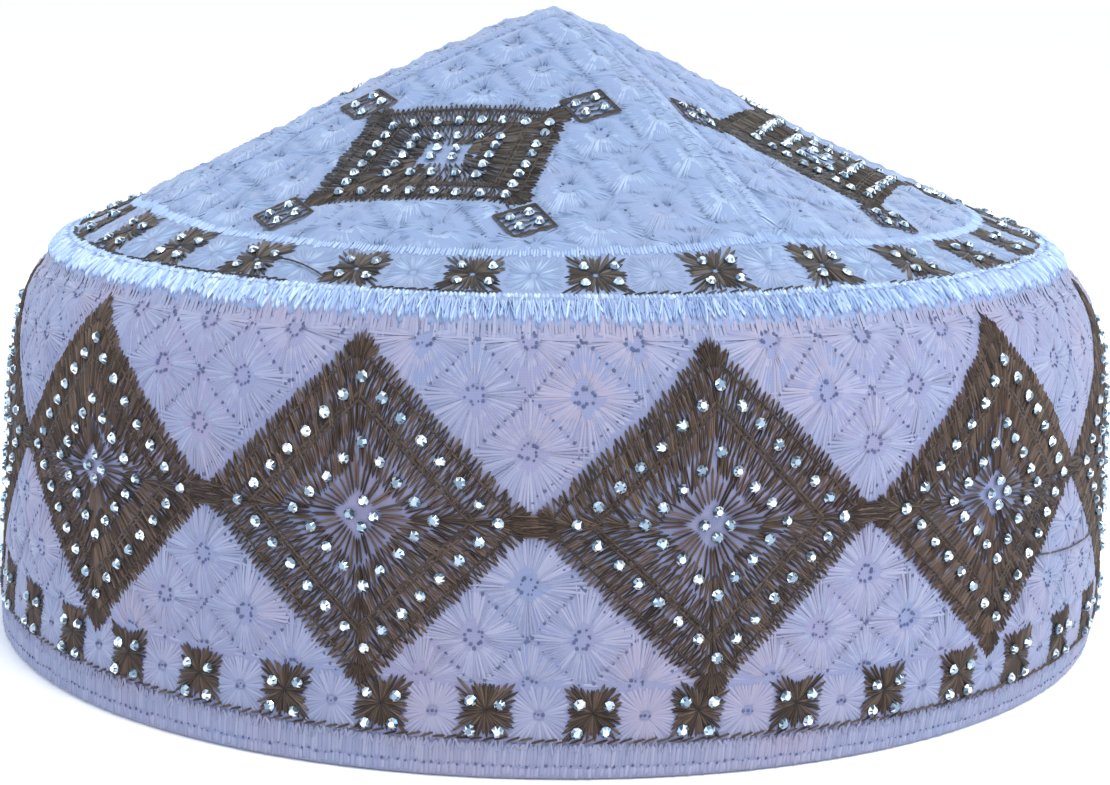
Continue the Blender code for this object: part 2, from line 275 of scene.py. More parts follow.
# %% Helpers for colour and relief
def blend_colours(look, factor, first, second):
    node = look.node_tree.nodes.new("ShaderNodeMix")
    node.data_type = "RGBA"
    for entry, value in zip((node.inputs[0], node.inputs[6], node.inputs[7]), (factor, first, second)):
        if isinstance(value, bpy.types.NodeSocket):
            look.node_tree.links.new(value, entry)
        elif isinstance(value, float):
            entry.default_value = value
        else:
            entry.default_value = (*value, 1)
    return node.outputs[2]


def finish_look(look, colour, bump=None, strength=0.3, distance=0.0002):
    shader = look.node_tree.nodes["Principled BSDF"]
    look.node_tree.links.new(colour, shader.inputs["Base Color"])
    if bump is not None:
        relief = add(look, "ShaderNodeBump", Strength=strength, Distance=distance, Height=bump)
        look.node_tree.links.new(relief, shader.inputs["Normal"])


def spread(look, value, low, high, to_low=0.0, to_high=1.0):
    """Maps low and high to two new values, and clamps what lies outside."""
    return add(look, "ShaderNodeMapRange", i0=value, i1=low, i2=high, i3=to_low, i4=to_high)


def object_place(look):
    return look.node_tree.nodes.new("ShaderNodeTexCoord").outputs["Object"]


def attribute(look, name):
    node = look.node_tree.nodes.new("ShaderNodeAttribute")
    node.attribute_name = name
    return node.outputs["Fac"]


print("helpers for colour are ready")

# %% [markdown]
# Thread
#
# A satin thread is a bundle of fine filaments. Its ends go down a needle hole, where shade falls on
# them, and that shade is painted on as a darker colour toward each end; its back catches the light.
# Filaments could be modelled, but they are too fine to see one by one, so they are a noise drawn out
# along the stitch. The look reads the stitch's own UV map, where u runs along it and v across it, and
# a number called tone that differs by stitch.

# %% Thread
FIBRES_ALONG = 2.0
FIBRES_ACROSS = 7.0
FIBRES_DIFFER = 90.0
TONE_PART = 0.7
FIBRE_PART = 0.6
CLOUD_SCALE = 60.0
CLOUD_PART = 0.6
END_SHADE_PART = 0.85


def fibre_noise(look, parts, tone):
    place = add(
        look,
        "ShaderNodeCombineXYZ",
        X=maths(look, "MULTIPLY", parts.outputs["X"], FIBRES_ALONG),
        Y=maths(look, "MULTIPLY", parts.outputs["Y"], FIBRES_ACROSS),
        Z=maths(look, "MULTIPLY", tone, FIBRES_DIFFER),
    )
    return add(look, "ShaderNodeTexNoise", Vector=place, Scale=1.0, Detail=2.0)


def thread_look(name, deep, middle, light, ends, shaded_end_share, roughness, sheen, warm=None):
    look = new_look(name, Roughness=roughness, Specular_IOR_Level=0.35, Sheen_Weight=sheen)
    parts = look.node_tree.nodes.new("ShaderNodeSeparateXYZ")
    look.node_tree.links.new(add(look, "ShaderNodeUVMap", {"uv_map": "Stitch"}), parts.inputs[0])
    tone = attribute(look, "tone")
    fibre = fibre_noise(look, parts, tone)
    own = maths(look, "MULTIPLY", tone, TONE_PART)
    shade = maths(look, "ADD", own, maths(look, "MULTIPLY", fibre, FIBRE_PART))
    colour = blend_colours(look, spread(look, shade, 0.25, 0.62), deep, middle)
    colour = blend_colours(look, spread(look, shade, 0.62, 1.05), colour, light)
    if warm is not None:
        cloud = add(look, "ShaderNodeTexNoise", Vector=object_place(look), Scale=CLOUD_SCALE, Detail=2.0)
        colour = blend_colours(look, spread(look, cloud, 0.48, 0.66, 0.0, CLOUD_PART), colour, warm)
    # Painted shade: both ends of a stitch, where it goes down into the cloth, are blended toward the ends
    # colour.
    from_middle = maths(look, "ABSOLUTE", maths(look, "SUBTRACT", parts.outputs["X"], 0.5))
    end = spread(look, from_middle, 0.5 - shaded_end_share, 0.5)
    colour = blend_colours(look, maths(look, "MULTIPLY", end, END_SHADE_PART), colour, ends)
    finish_look(look, colour, fibre, strength=0.35, distance=0.0001)
    return look


print("the recipe for thread is ready")

# %% [markdown]
# One recipe serves every thread of the cap. The brown is warmer on the band, and on the crown, which
# faces the sky, a copy of it is painted cooler: a painted sky light. The crown's pale thread is a
# bluer copy of the band's, with painted sky light too. The band's pale thread is lavender with pinker
# clouds, and the borders are brighter and bluer, with looks of their own.

# %% The cap's threads
BROWN_THREAD = thread_look(
    "brown thread",
    deep=(0.019, 0.012, 0.009),
    middle=(0.065, 0.041, 0.030),
    light=(0.155, 0.105, 0.079),
    ends=(0.010, 0.009, 0.016),
    shaded_end_share=0.22,
    roughness=0.5,
    sheen=0.1,
)
# Painted sky light: the crown's brown is a cooler copy of the band's brown thread.
SKY_PAINTED_BROWN_THREAD = thread_look(
    "brown thread with painted sky light",
    deep=(0.018, 0.014, 0.012),
    middle=(0.062, 0.050, 0.041),
    light=(0.147, 0.127, 0.113),
    ends=(0.009, 0.010, 0.020),
    shaded_end_share=0.22,
    roughness=0.5,
    sheen=0.1,
)
PALE_THREAD = thread_look(
    "pale thread",
    deep=(0.197, 0.218, 0.337),
    middle=(0.223, 0.244, 0.375),
    light=(0.283, 0.294, 0.415),
    ends=(0.16, 0.178, 0.30),
    shaded_end_share=0.12,
    roughness=0.55,
    sheen=0.2,
    warm=(0.285, 0.248, 0.345),
)
BRIGHT_THREAD = thread_look(
    "bright thread",
    deep=(0.25, 0.35, 0.58),
    middle=(0.35, 0.48, 0.71),
    light=(0.60, 0.74, 0.93),
    ends=(0.20, 0.28, 0.50),
    shaded_end_share=0.14,
    roughness=0.45,
    sheen=0.2,
)
# Painted sky light: the crown's pale thread is a bluer copy of the band's pale thread.
SKY_PAINTED_PALE_THREAD = thread_look(
    "pale thread with painted sky light",
    deep=(0.166, 0.238, 0.395),
    middle=(0.205, 0.29, 0.455),
    light=(0.34, 0.44, 0.61),
    ends=(0.165, 0.235, 0.39),
    shaded_end_share=0.40,
    roughness=0.45,
    sheen=0.2,
    warm=(0.235, 0.275, 0.425),
)
SHOULDER_THREAD = thread_look(
    "shoulder thread",
    deep=(0.215, 0.285, 0.48),
    middle=(0.27, 0.355, 0.57),
    light=(0.37, 0.47, 0.69),
    ends=(0.18, 0.235, 0.42),
    shaded_end_share=0.14,
    roughness=0.5,
    sheen=0.2,
)
print("threads:", [look.name for look in bpy.data.materials if "thread" in look.name])

# %% [markdown]
# Cotton
#
# The cotton under the thread shows as lavender between the stitches. It has a fine plain weave, a
# little pinker in some places and bluer in others. Woven yarns could be modelled, but the thread
# hides nearly all of them, so two crossed waves on the pattern's UV map stand for the weave.

# %% Cotton
CLOTH_CLOUD_SCALE = 45.0
WEAVE_SCALE = 9.0


def cotton_look(name, cool, warm, deep):
    look = new_look(name, Roughness=0.75, Specular_IOR_Level=0.2, Sheen_Weight=0.3)
    uv = add(look, "ShaderNodeUVMap", {"uv_map": "Pattern"})
    cloud = add(look, "ShaderNodeTexNoise", Vector=object_place(look), Scale=CLOTH_CLOUD_SCALE, Detail=3.0)
    colour = blend_colours(look, spread(look, cloud, 0.35, 0.68), cool, warm)
    waves = []
    for direction in "XY":
        settings = {"bands_direction": direction}
        waves.append(add(look, "ShaderNodeTexWave", settings, Vector=uv, Scale=WEAVE_SCALE, Distortion=0.6))
    weave = maths(look, "MULTIPLY", *waves)
    # Painted shade: the low places of the weave, between the yarns, are blended toward the deep colour.
    colour = blend_colours(look, spread(look, weave, 0.0, 0.4, 0.35, 0.0), colour, deep)
    finish_look(look, colour, weave, strength=0.25, distance=0.0001)
    return look


BAND_COTTON = cotton_look(
    "band cotton",
    cool=(0.178, 0.217, 0.36),
    warm=(0.243, 0.22, 0.339),
    deep=(0.153, 0.172, 0.304),
)
# Painted sky light: the cotton of the crown and shoulder, which face the sky, is a bluer and lighter copy of
# the band's.
SKY_PAINTED_COTTON = cotton_look(
    "cotton with painted sky light",
    cool=(0.194, 0.270, 0.443),
    warm=(0.216, 0.276, 0.433),
    deep=(0.160, 0.221, 0.381),
)
print("cottons:", BAND_COTTON.name, SKY_PAINTED_COTTON.name)

# %% [markdown]
# Needle holes and glass
#
# A needle hole is only a spot of shade. A foil-backed stone is bright where a facet looks at a lamp
# and nearly black where it looks away. Clear glass over a mirror would be true to life, but it is
# slow and noisy at this size, so each facet has a number, a painted reflection, that says how bright
# its foil looks.

# %% Needle holes and glass
HOLE_SHADE = new_look("needle hole", Roughness=0.9, Specular_IOR_Level=0.0)
hole_noise = add(HOLE_SHADE, "ShaderNodeTexNoise", Vector=object_place(HOLE_SHADE), Scale=700.0)
finish_look(HOLE_SHADE, blend_colours(HOLE_SHADE, hole_noise, (0.05, 0.06, 0.13), (0.12, 0.14, 0.25)))

STONE_GLASS = new_look("foiled glass", Roughness=0.12, Metallic=0.55, Coat_Weight=0.6, Coat_Roughness=0.05)
# Painted reflection: the facet number picks dark glass, blue glass or a lamp's white glint.
facet = attribute(STONE_GLASS, "facet")
turned_away = spread(STONE_GLASS, facet, 0.0, 0.45)
glass_blue = blend_colours(STONE_GLASS, turned_away, (0.015, 0.025, 0.04), (0.24, 0.36, 0.48))
toward_lamp = spread(STONE_GLASS, facet, 0.45, 0.8)
finish_look(STONE_GLASS, blend_colours(STONE_GLASS, toward_lamp, glass_blue, (0.86, 0.92, 0.97)))
print("glass:", STONE_GLASS.name)

# %% [markdown]
# Sewing
#
# A stitch is one short body with two pointed ends and a rounded back. A curve with a bevel could make
# one, but thousands of curves are slow, so it starts as a small grid whose ends are drawn to points
# and whose middle line is raised. It has only a few faces, because it is copied so often.

# %% One stitch
def make_stitch(near, far):
    """A stitch one long, one wide and one high, at its full width from near to far."""
    bm = bmesh.new()
    bmesh.ops.create_grid(bm, x_segments=3, y_segments=2, size=0.5)
    for v in bm.verts:
        if abs(v.co.x) > 0.4:
            v.co.y = 0
        elif abs(v.co.y) < 0.1:
            v.co.z = 1
        if abs(v.co.x) < 0.4:
            v.co.x = (near if v.co.x < 0 else far) - 0.5
    bmesh.ops.remove_doubles(bm, verts=bm.verts, dist=0.001)
    bmesh.ops.holes_fill(bm, edges=[e for e in bm.edges if e.is_boundary])
    bmesh.ops.triangulate(bm, faces=bm.faces)
    bmesh.ops.recalc_face_normals(bm, faces=bm.faces)
    points = np.array([v.co[:] for v in bm.verts])
    faces = np.array([[v.index for v in f.verts] for f in bm.faces])
    bm.free()
    return points, faces


SATIN = make_stitch(0.18, 0.82)
RAY = make_stitch(0.30, 0.86)
print("faces in a stitch:", len(SATIN[1]))

# %% [markdown]
# Geometry nodes could scatter stitches, but here each one has its own start, end, width and tone.
# So they are joined from arrays into one mesh: every copy is stretched from its start to its end in
# the flat pattern, the pattern is laid on the cloth, and the whole settles as the cloth does.

# %% Adding a piece to the scene
SHARP_THREAD = math.radians(80)
SHARP_CLOTH = math.radians(60)


def add_piece(name, mesh, look, sharp):
    mesh.shade_smooth()
    mesh.set_sharp_from_angle(angle=sharp)
    mesh.materials.append(look)
    piece = bpy.data.objects.new(name, mesh)
    bpy.context.scene.collection.objects.link(piece)
    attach(piece, "root")
    return piece


def join_copies(name, points, faces, look):
    """One mesh from many placed copies: points is copies by corners by three."""
    copies, corners = points.shape[:2]
    all_faces = (faces[None] + corners * np.arange(copies)[:, None, None]).reshape(-1, 3)
    mesh = bpy.data.meshes.new(name)
    mesh.from_pydata(settle(points.reshape(-1, 3)), [], all_faces)
    return add_piece(name, mesh, look, SHARP_THREAD)


# %% Sewing a row of stitches
def stitch_row(start, end, width, lift, thickness, tone):
    """One stitch for sew: its ends in the flat pattern, sizes in metres, and a tone from 0 to 1."""
    return (*start, *end, width, lift, thickness, tone)


def sew(name, stitches, placing, look, kind=SATIN, bumps=None):
    """Sews many stitches on the cloth, and on its bumps where they are given."""
    rows = np.array(stitches)
    start = rows[:, None, 0:2]
    along = rows[:, None, 2:4] - start
    length = np.linalg.norm(along, axis=2, keepdims=True)
    across = np.stack((-along[..., 1], along[..., 0]), axis=-1) / length
    points, faces = kind
    flat = start + along * (points[:, 0:1] + 0.5) + across * points[:, 1:2] * rows[:, None, 4:5]
    proud = rows[:, 5:6] + rows[:, 6:7] * points[:, 2]
    if bumps is not None:
        proud = proud + bumps(flat[..., 0], flat[..., 1])
    piece = join_copies(name, placing(flat[..., 0], flat[..., 1], proud), faces, look)
    add_stitch_data(piece.data, rows[:, 7], points)
    return piece


def add_stitch_data(mesh, tones, points):
    """The UV map of every stitch, and its tone."""
    copies = len(tones)
    own_uv = np.tile(points[:, :2] + 0.5, (copies, 1))
    corners = np.empty(len(mesh.loops), dtype=np.int32)
    mesh.loops.foreach_get("vertex_index", corners)
    layer = mesh.uv_layers.new(name="Stitch")
    layer.data.foreach_set("uv", own_uv[corners].ravel().astype(np.float32))
    tone = mesh.attributes.new("tone", "FLOAT", "POINT")
    tone.data.foreach_set("value", np.repeat(tones, len(points)).astype(np.float32))


def wobble(size):
    return chance.uniform(-size, size)


print("ready to sew")

# %% [markdown]
# The quilted cloth
#
# The pale ground is quilted in rosettes. Their cells are squares standing on a corner, with half a
# diagonal of 7.3 mm, and they fill the triangles that the brown diamonds leave above and below. The
# places are worked out from the diamonds' pitch, so that the rosettes stay centred in every gap.

# %% Where the rosettes of the band lie
DIAMONDS = 12
DIAMOND_PITCH = WAY_ROUND / DIAMONDS
FIRST_DIAMOND = math.radians(-17.1) * PATTERN_RADIUS
DIAMOND_HEIGHT = 0.0357
CELL = 0.0073
ROSETTE_SHIFT = -0.0008
ROSETTE_ROWS = (
    # height above the diamonds' middle, height below it, steps to the side
    (0.0097, -0.0085, (0,)),
    (0.0170, -0.0158, (-1, 1)),
    (0.0240, -0.0225, (-2, 0, 2)),
)


def band_rosettes():
    spots = []
    for gap in range(DIAMONDS):
        middle = FIRST_DIAMOND + (gap + 0.5) * DIAMOND_PITCH + ROSETTE_SHIFT
        for above, below, steps in ROSETTE_ROWS:
            for height in (above, below):
                spots += [(middle + step * CELL, DIAMOND_HEIGHT + height) for step in steps]
    return np.array(spots)


BAND_ROSETTES = band_rosettes()
print("rosettes on the band:", len(BAND_ROSETTES))

# %% [markdown]
# Each cell is a soft cushion with a dimple in its middle. A cloth simulation could puff it up, but this
# cloth is stiff and stitched down every few millimetres, so a formula gives the same cushion each
# time, and the stitches can ask the same formula how high they lie.

# %% The relief of a quilted cell
BAND_PUFF = 0.0009
CROWN_PUFF = 0.0015
SWELL = 0.4
DIMPLE = 0.0019
DIMPLE_DEPTH = 0.95


def cushion(dx, dy):
    """The shape of a cell's cushion: 0 on its border, with a dimple in its middle."""
    edge = np.clip(1 - (abs(dx) + abs(dy)) / CELL, 0, 1)
    dip = np.exp(-(dx ** 2 + dy ** 2) / DIMPLE ** 2)
    return edge * (1 + SWELL - SWELL * edge) - DIMPLE_DEPTH * dip


def cell_bumps(spots, puff, fade, period=None):
    """The relief of many cells. The fade function is 0 where something else is sewn."""
    def bumps(x, y):
        best = np.zeros_like(x)
        for spot_x, spot_y in spots:
            dx = x - spot_x
            if period:
                dx = (dx + period / 2) % period - period / 2
            near = abs(dx) + abs(y - spot_y) < CELL
            best[near] = puff * cushion(dx[near], (y - spot_y)[near])
        return best * fade(x, y)
    return bumps


print("half a cell is", CELL * 1000, "mm")

# %% Where the quilting shows on the band
FIELD_LOW = 0.0139
FIELD_HIGH = 0.0600
FADE_OVER = 0.0008


def band_fade(x, y):
    return np.clip(np.minimum(y - FIELD_LOW, FIELD_HIGH - y) / FADE_OVER, 0, 1)


one_gap = BAND_ROSETTES[:len(BAND_ROSETTES) // DIAMONDS]
band_bumps = cell_bumps(one_gap, BAND_PUFF, band_fade, DIAMOND_PITCH)
print("cells in one gap:", len(one_gap))

# %% [markdown]
# The cloth is a sheet with a face, a back and edges. A Solidify modifier could thicken a surface, but
# only the face has the relief here and the back is plain, so a flat grid is extruded once, and both
# layers are then laid in place, each with its own depth.

# %% A flat sheet with two faces
def flat_sheet(columns, rows, all_round):
    """A closed sheet, 1 by 1, whose face has z = 1 and whose back has z = 0."""
    bm = bmesh.new()
    bmesh.ops.create_grid(bm, x_segments=columns, y_segments=rows, size=0.5)
    bmesh.ops.translate(bm, verts=bm.verts, vec=(0.5, 0.5, 0))
    back = bmesh.ops.extrude_face_region(bm, geom=bm.faces[:])["geom"]
    moved = [v for v in back if isinstance(v, bmesh.types.BMVert)]
    bmesh.ops.translate(bm, verts=moved, vec=(0, 0, 1))
    if all_round:
        ends = [f for f in bm.faces if abs(f.normal.x) > 0.9]
        bmesh.ops.delete(bm, geom=ends, context="FACES_ONLY")
    layer = bm.loops.layers.uv.new("Pattern")
    for face in bm.faces:
        for loop in face.loops:
            loop[layer].uv = loop.vert.co.xy
    return bm


def close_sheet(mesh):
    """Joins the ends of a sheet that goes all the way round, and turns its faces outwards."""
    bm = bmesh.new()
    bm.from_mesh(mesh)
    bmesh.ops.remove_doubles(bm, verts=bm.verts, dist=1e-6)
    bmesh.ops.recalc_face_normals(bm, faces=bm.faces)
    bm.to_mesh(mesh)
    bm.free()


print("ready to cut cloth")

# %% Laying a sheet of cloth
CLOTH = 0.0026
PATTERN_SCALE = 100


def make_cloth(name, columns, rows, placing, look, node, all_round=False):
    """Lays a sheet: placing maps x and y from 0 to 1 and a depth into the cloth."""
    bm = flat_sheet(columns, rows, all_round)
    mesh = bpy.data.meshes.new(name)
    bm.to_mesh(mesh)
    bm.free()
    flat = np.empty(len(mesh.vertices) * 3)
    mesh.vertices.foreach_get("co", flat)
    flat = flat.reshape(-1, 3)
    points, pattern = placing(flat[:, 0], flat[:, 1], CLOTH * (flat[:, 2] - 1))
    mesh.vertices.foreach_set("co", settle(points).ravel())
    corners = np.empty(len(mesh.loops), dtype=np.int32)
    mesh.loops.foreach_get("vertex_index", corners)
    mesh.uv_layers["Pattern"].data.foreach_set("uv", (pattern[corners] * PATTERN_SCALE).ravel())
    close_sheet(mesh)
    piece = add_piece(name, mesh, look, SHARP_CLOTH)
    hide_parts(node)
    print(name, "faces:", len(mesh.polygons))


print("ready to lay cloth")

# %% [markdown]
# The band is one sheet of cloth. It goes up from the hem border and bends in over the shoulder. It
# could be four panels, but no upright seam shows on the real band, so it goes all the way round.

# %% The band
BORDER_FOOT = 0.0612
BAND_COLUMNS = 400
BAND_ROWS = 44


def lay_band(x, y, depth):
    along = x * WAY_ROUND
    height = HEM_TOP + (BORDER_FOOT - HEM_TOP) * y
    outside = depth > -CLOTH / 2
    proud = depth + np.where(outside, band_bumps(along, height), 0)
    return on_band(along, height, proud), np.stack((along, height), axis=-1)


make_cloth("band_cloth", BAND_COLUMNS, BAND_ROWS, lay_band, BAND_COTTON, "side_band", all_round=True)

# %% [markdown]
# The gores
#
# The four gores are cut alike. Each has a brown motif with a small square off every corner, and pale
# rosettes wherever there is room. To know where that is, a function measures how far any place is
# from the motif, the squares and the seams. It could be painted as a mask, but numbers stay sharp.

# %% What lies on a gore
MOTIF_MIDDLE = np.array((-0.0014, 0.0457))
MOTIF_CORNERS = np.array((
    (-0.0187, 0.0331),
    (0.0143, 0.0317),
    (0.0160, 0.0567),
    (-0.0189, 0.0596),
))
PATCH_MIDDLES = np.array((
    (-0.0204, 0.0309),
    (0.0167, 0.0303),
    (0.0172, 0.0608),
    (-0.0208, 0.0617),
))
PATCH_HALF = np.array((0.0050, 0.0045))
FIELD_EDGE = 0.0703
SEAM_STRIP = 0.0012


def clear_of_motif(x, y):
    """How far a place on a gore lies outside its motif and the four patches, in metres."""
    sides = zip(MOTIF_CORNERS, np.roll(MOTIF_CORNERS, -1, axis=0))
    beyond = []
    for start, end in sides:
        along = (end - start) / np.linalg.norm(end - start)
        beyond.append((x - start[0]) * along[1] - (y - start[1]) * along[0])
    clear = np.maximum.reduce(beyond)
    for middle in PATCH_MIDDLES:
        share = abs(x - middle[0]) / PATCH_HALF[0] + abs(y - middle[1]) / PATCH_HALF[1]
        clear = np.minimum(clear, (share - 1) * PATCH_HALF.mean())
    return clear


def clear_of_seams(x, y):
    """How far a place on a gore lies from its two seams, in metres."""
    turn = GORE_TURN / 2 - abs(np.arctan2(x, y))
    return np.hypot(x, y) * np.sin(np.clip(turn, -1, 1))


def gore_field(x, y):
    """How far inside the field of rosettes a place lies, in metres."""
    room = np.minimum(clear_of_motif(x, y), clear_of_seams(x, y) - SEAM_STRIP)
    return np.minimum(room, FIELD_EDGE - np.hypot(x, y))


def gore_fade(x, y):
    return np.clip(gore_field(x, y) / (2 * FADE_OVER), 0, 1)


print("room at a gore's middle:", gore_field(0.0, 0.0300).round(4), "m")

# %% The crown's rosettes and their relief
LATTICE_ACROSS = -0.0015
LATTICE_OUT = 0.0438
LATTICE_ROWS = range(-6, 5)
LATTICE_STEPS = range(-9, 10)
OVERHANG = -0.0055


def gore_rosettes():
    """Cells of the crown, in rows along the gore's foot, where part of one has room."""
    spots = []
    for row in LATTICE_ROWS:
        for step in LATTICE_STEPS:
            spot = (LATTICE_ACROSS + step * CELL, LATTICE_OUT + row * CELL)
            if (row + step) % 2 == 0 and gore_field(*spot) > OVERHANG:
                spots.append(spot)
    return np.array(spots)


GORE_ROSETTES = gore_rosettes()
gore_bumps = cell_bumps(GORE_ROSETTES, CROWN_PUFF, gore_fade)
print("rosettes on a gore:", len(GORE_ROSETTES))

# %% Laying the gores
GORE_COLUMNS = 64
GORE_ROWS = 50
CROWN_TIP = 0.004


def lay_gore(number):
    def lay(x, y, depth):
        share = CROWN_TIP + (1 - CROWN_TIP) * y
        turn = FIRST_GORE + (number - 0.5 + x) * GORE_TURN
        flat = on_crown(turn, share, 0 * x)
        radius = np.hypot(flat[:, 0], flat[:, 1])
        across = radius * np.sin((x - 0.5) * GORE_TURN)
        out = radius * np.cos((x - 0.5) * GORE_TURN)
        proud = depth + np.where(depth > -CLOTH / 2, gore_bumps(across, out), 0)
        return on_crown(turn, share, proud), np.stack((across, out), axis=-1)
    return lay


for number in range(GORES):
    name = f"gore_cloth_{number + 1}"
    make_cloth(name, GORE_COLUMNS, GORE_ROWS, lay_gore(number), SKY_PAINTED_COTTON, f"crown_gore_{number + 1}")

# %% [markdown]
# Rolls of cloth
#
# The hem border and the shoulder border are rolls of cloth under dense white stitches. A torus would
# be round in section, and these are flat rings with rounded edges, so each is a section that is
# spun all the way round.

# %% Spinning a roll
ROLL_STEPS = 300


def spin_section(section):
    """Spins a closed section of radius and height points into a ring, with its pattern."""
    bm = bmesh.new()
    points = [bm.verts.new((0, -radius, height)) for radius, height in section]
    edges = [bm.edges.new(pair) for pair in zip(points, points[1:] + points[:1])]
    bmesh.ops.spin(
        bm,
        geom=points + edges,
        cent=(0, 0, 0),
        axis=(0, 0, 1),
        angle=math.tau,
        steps=ROLL_STEPS,
        use_merge=True,
    )
    bmesh.ops.recalc_face_normals(bm, faces=bm.faces)
    layer = bm.loops.layers.uv.new("Pattern")
    for face in bm.faces:
        for loop in face.loops:
            spot = loop.vert.co
            along = PATTERN_RADIUS * math.atan2(spot.x, -spot.y)
            loop[layer].uv = (PATTERN_SCALE * along, PATTERN_SCALE * spot.z)
    return bm


def make_roll(name, section, look, node):
    bm = spin_section(section)
    mesh = bpy.data.meshes.new(name)
    bm.to_mesh(mesh)
    bm.free()
    points = np.array([v.co[:] for v in mesh.vertices])
    mesh.vertices.foreach_set("co", settle(points).ravel())
    piece = add_piece(name, mesh, look, SHARP_CLOTH)
    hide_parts(node)
    print(name, "faces:", len(mesh.polygons))


print("ready to spin")

# %% [markdown]
# The hem is what the cap stands on, so its foot is flat, and only its two lower edges are rounded.
# A Bevel modifier could round them. The section is so small that a few points do it as well.

# %% The hem roll
HEM_CLOTH = 0.0028
HEM_ROUND = 0.0007
HEM_EDGE = 0.0002
hem_outer = float(wall_radius(0.0))
hem_inner = hem_outer - HEM_CLOTH
hem_section = [(hem_outer - HEM_ROUND, 0), (hem_outer - HEM_EDGE, HEM_EDGE), (hem_outer, HEM_ROUND)]
hem_section += [(float(wall_radius(height)), height) for height in (0.0018, 0.0030, 0.0042)]
hem_section += [(float(wall_radius(HEM_TOP)) - HEM_EDGE, HEM_TOP), (hem_inner, HEM_TOP)]
hem_section += [(hem_inner, HEM_ROUND), (hem_inner + HEM_EDGE, HEM_EDGE), (hem_inner + HEM_ROUND, 0)]
make_roll("hem_cloth", hem_section, BAND_COTTON, "hem_border")

# %% [markdown]
# The shoulder border is padded, and bulges out a little where the band turns in to the crown. Its
# section follows the wall's own slope, so it is given as heights and how far each stands proud.

# %% The shoulder roll
SHOULDER_ROLL = (
    # height, how far the padded roll stands proud
    (0.0612, 0.0000),
    (0.0616, 0.0004),
    (0.0624, 0.0006),
    (0.0636, 0.0006),
    (0.0643, 0.0004),
    (0.0648, 0.0000),
)


def roll_point(height, proud):
    spot = on_band(np.array([0.0]), np.array([height]), np.array([proud]))[0]
    return float(-spot[1]), float(spot[2])


def shoulder_pad(x, y):
    heights, pads = zip(*SHOULDER_ROLL)
    return np.interp(y, heights, pads)


shoulder_section = [roll_point(height, proud) for height, proud in SHOULDER_ROLL]
shoulder_section += [roll_point(height, -CLOTH) for height, _ in reversed(SHOULDER_ROLL)]
make_roll("shoulder_cloth", shoulder_section, SKY_PAINTED_COTTON, "top_border")

# %% [markdown]
# White rosettes
#
# Every rosette is a wheel of pale threads from a small ring of eyelet holes out to the border of its
# cell. One wheel could be made once and copied, but a machine leaves the ends uneven, and some wheels
# are cut off at the field's edge. So each thread is drawn on its own and clipped to the field.

# %% Clipping a thread
CLIP_PLACES = 15
LEAST_PLACES = 4


def clip_thread(start, end, inside):
    """The first part of a thread that lies inside the field, or None where it is too short."""
    places = start + np.linspace(0, 1, CLIP_PLACES)[:, None] * (end - start)
    is_in = inside(places[:, 0], places[:, 1])
    if not is_in.any():
        return None
    first = int(np.argmax(is_in))
    outside = np.flatnonzero(~is_in[first:])
    last = first + int(outside[0]) - 1 if len(outside) else len(places) - 1
    if last - first < LEAST_PLACES:
        return None
    return places[first], places[last]


print("ready to clip threads")

# %% Rosette threads
EYELET = 0.00120
ROSETTE_THREADS = 76
FREE_REACH = 1.28
CELL_REACH = 1.05
PAST_FIELD_LOW = 0.0004
PAST_FIELD_HIGH = 0.0008
LEVEL_PAINTED_SHINE = 0.5
SLOPE_PAINTED_SHINE = 0.7


def rosette(spot, spots, inside, eyelet=EYELET, lift=0.00001, shine=0.0):
    """Threads out to the cell's border, and past it where no other cell is near.

    Where shine is given, the threads that run down the slope get a painted highlight in their tone."""
    rows = []
    for thread in range(ROSETTE_THREADS):
        turn = math.tau * (thread + wobble(0.35)) / ROSETTE_THREADS
        way = np.array((math.cos(turn), math.sin(turn)))
        border = CELL / abs(way).sum()
        start = spot + way * (eyelet + wobble(0.00018))
        beyond = spot + way * border * FREE_REACH
        is_free = (abs(spots - beyond).sum(axis=1) > CELL).all()
        reach = (FREE_REACH if is_free else CELL_REACH) + wobble(0.07)
        kept = clip_thread(start, spot + way * border * reach, inside)
        if kept is not None:
            # Painted highlight: with shine, the tone grows with how far the thread runs down the slope.
            rows.append(stitch_row(
                *kept,
                width=0.00038 + wobble(0.00010),
                lift=lift + wobble(0.00002),
                thickness=0.00012 + wobble(0.00005),
                tone=(1 - shine) * chance.random() + shine * (LEVEL_PAINTED_SHINE + SLOPE_PAINTED_SHINE * way[1]),
            ))
    return rows


def in_band_field(x, y):
    return (y > FIELD_LOW - PAST_FIELD_LOW) & (y < FIELD_HIGH + PAST_FIELD_HIGH)


band_threads = []
for spot in BAND_ROSETTES:
    band_threads += rosette(spot, BAND_ROSETTES, in_band_field)
sew("band_rosettes", band_threads, on_band, PALE_THREAD, RAY, band_bumps)
print("threads in the band's rosettes:", len(band_threads))

# %% [markdown]
# The crown's rosettes are the same wheels with a smaller eyelet. They lie in soft cushions that face
# the sky, so on the real cap their threads nearly melt into the cloth. They could be a texture, but
# threads catch the light along the slope, so they are sewn like the band's, with a painted highlight
# in their tone that makes the threads running down the slope brighter.

# %% The crown's rosettes
CROWN_EYELET = 0.0006
CROWN_LIFT = 0.00004
CROWN_PAINTED_SHINE = 0.6
PAST_GORE_FIELD = 0.0003


def in_gore_field(x, y):
    return gore_field(x, y) > -PAST_GORE_FIELD


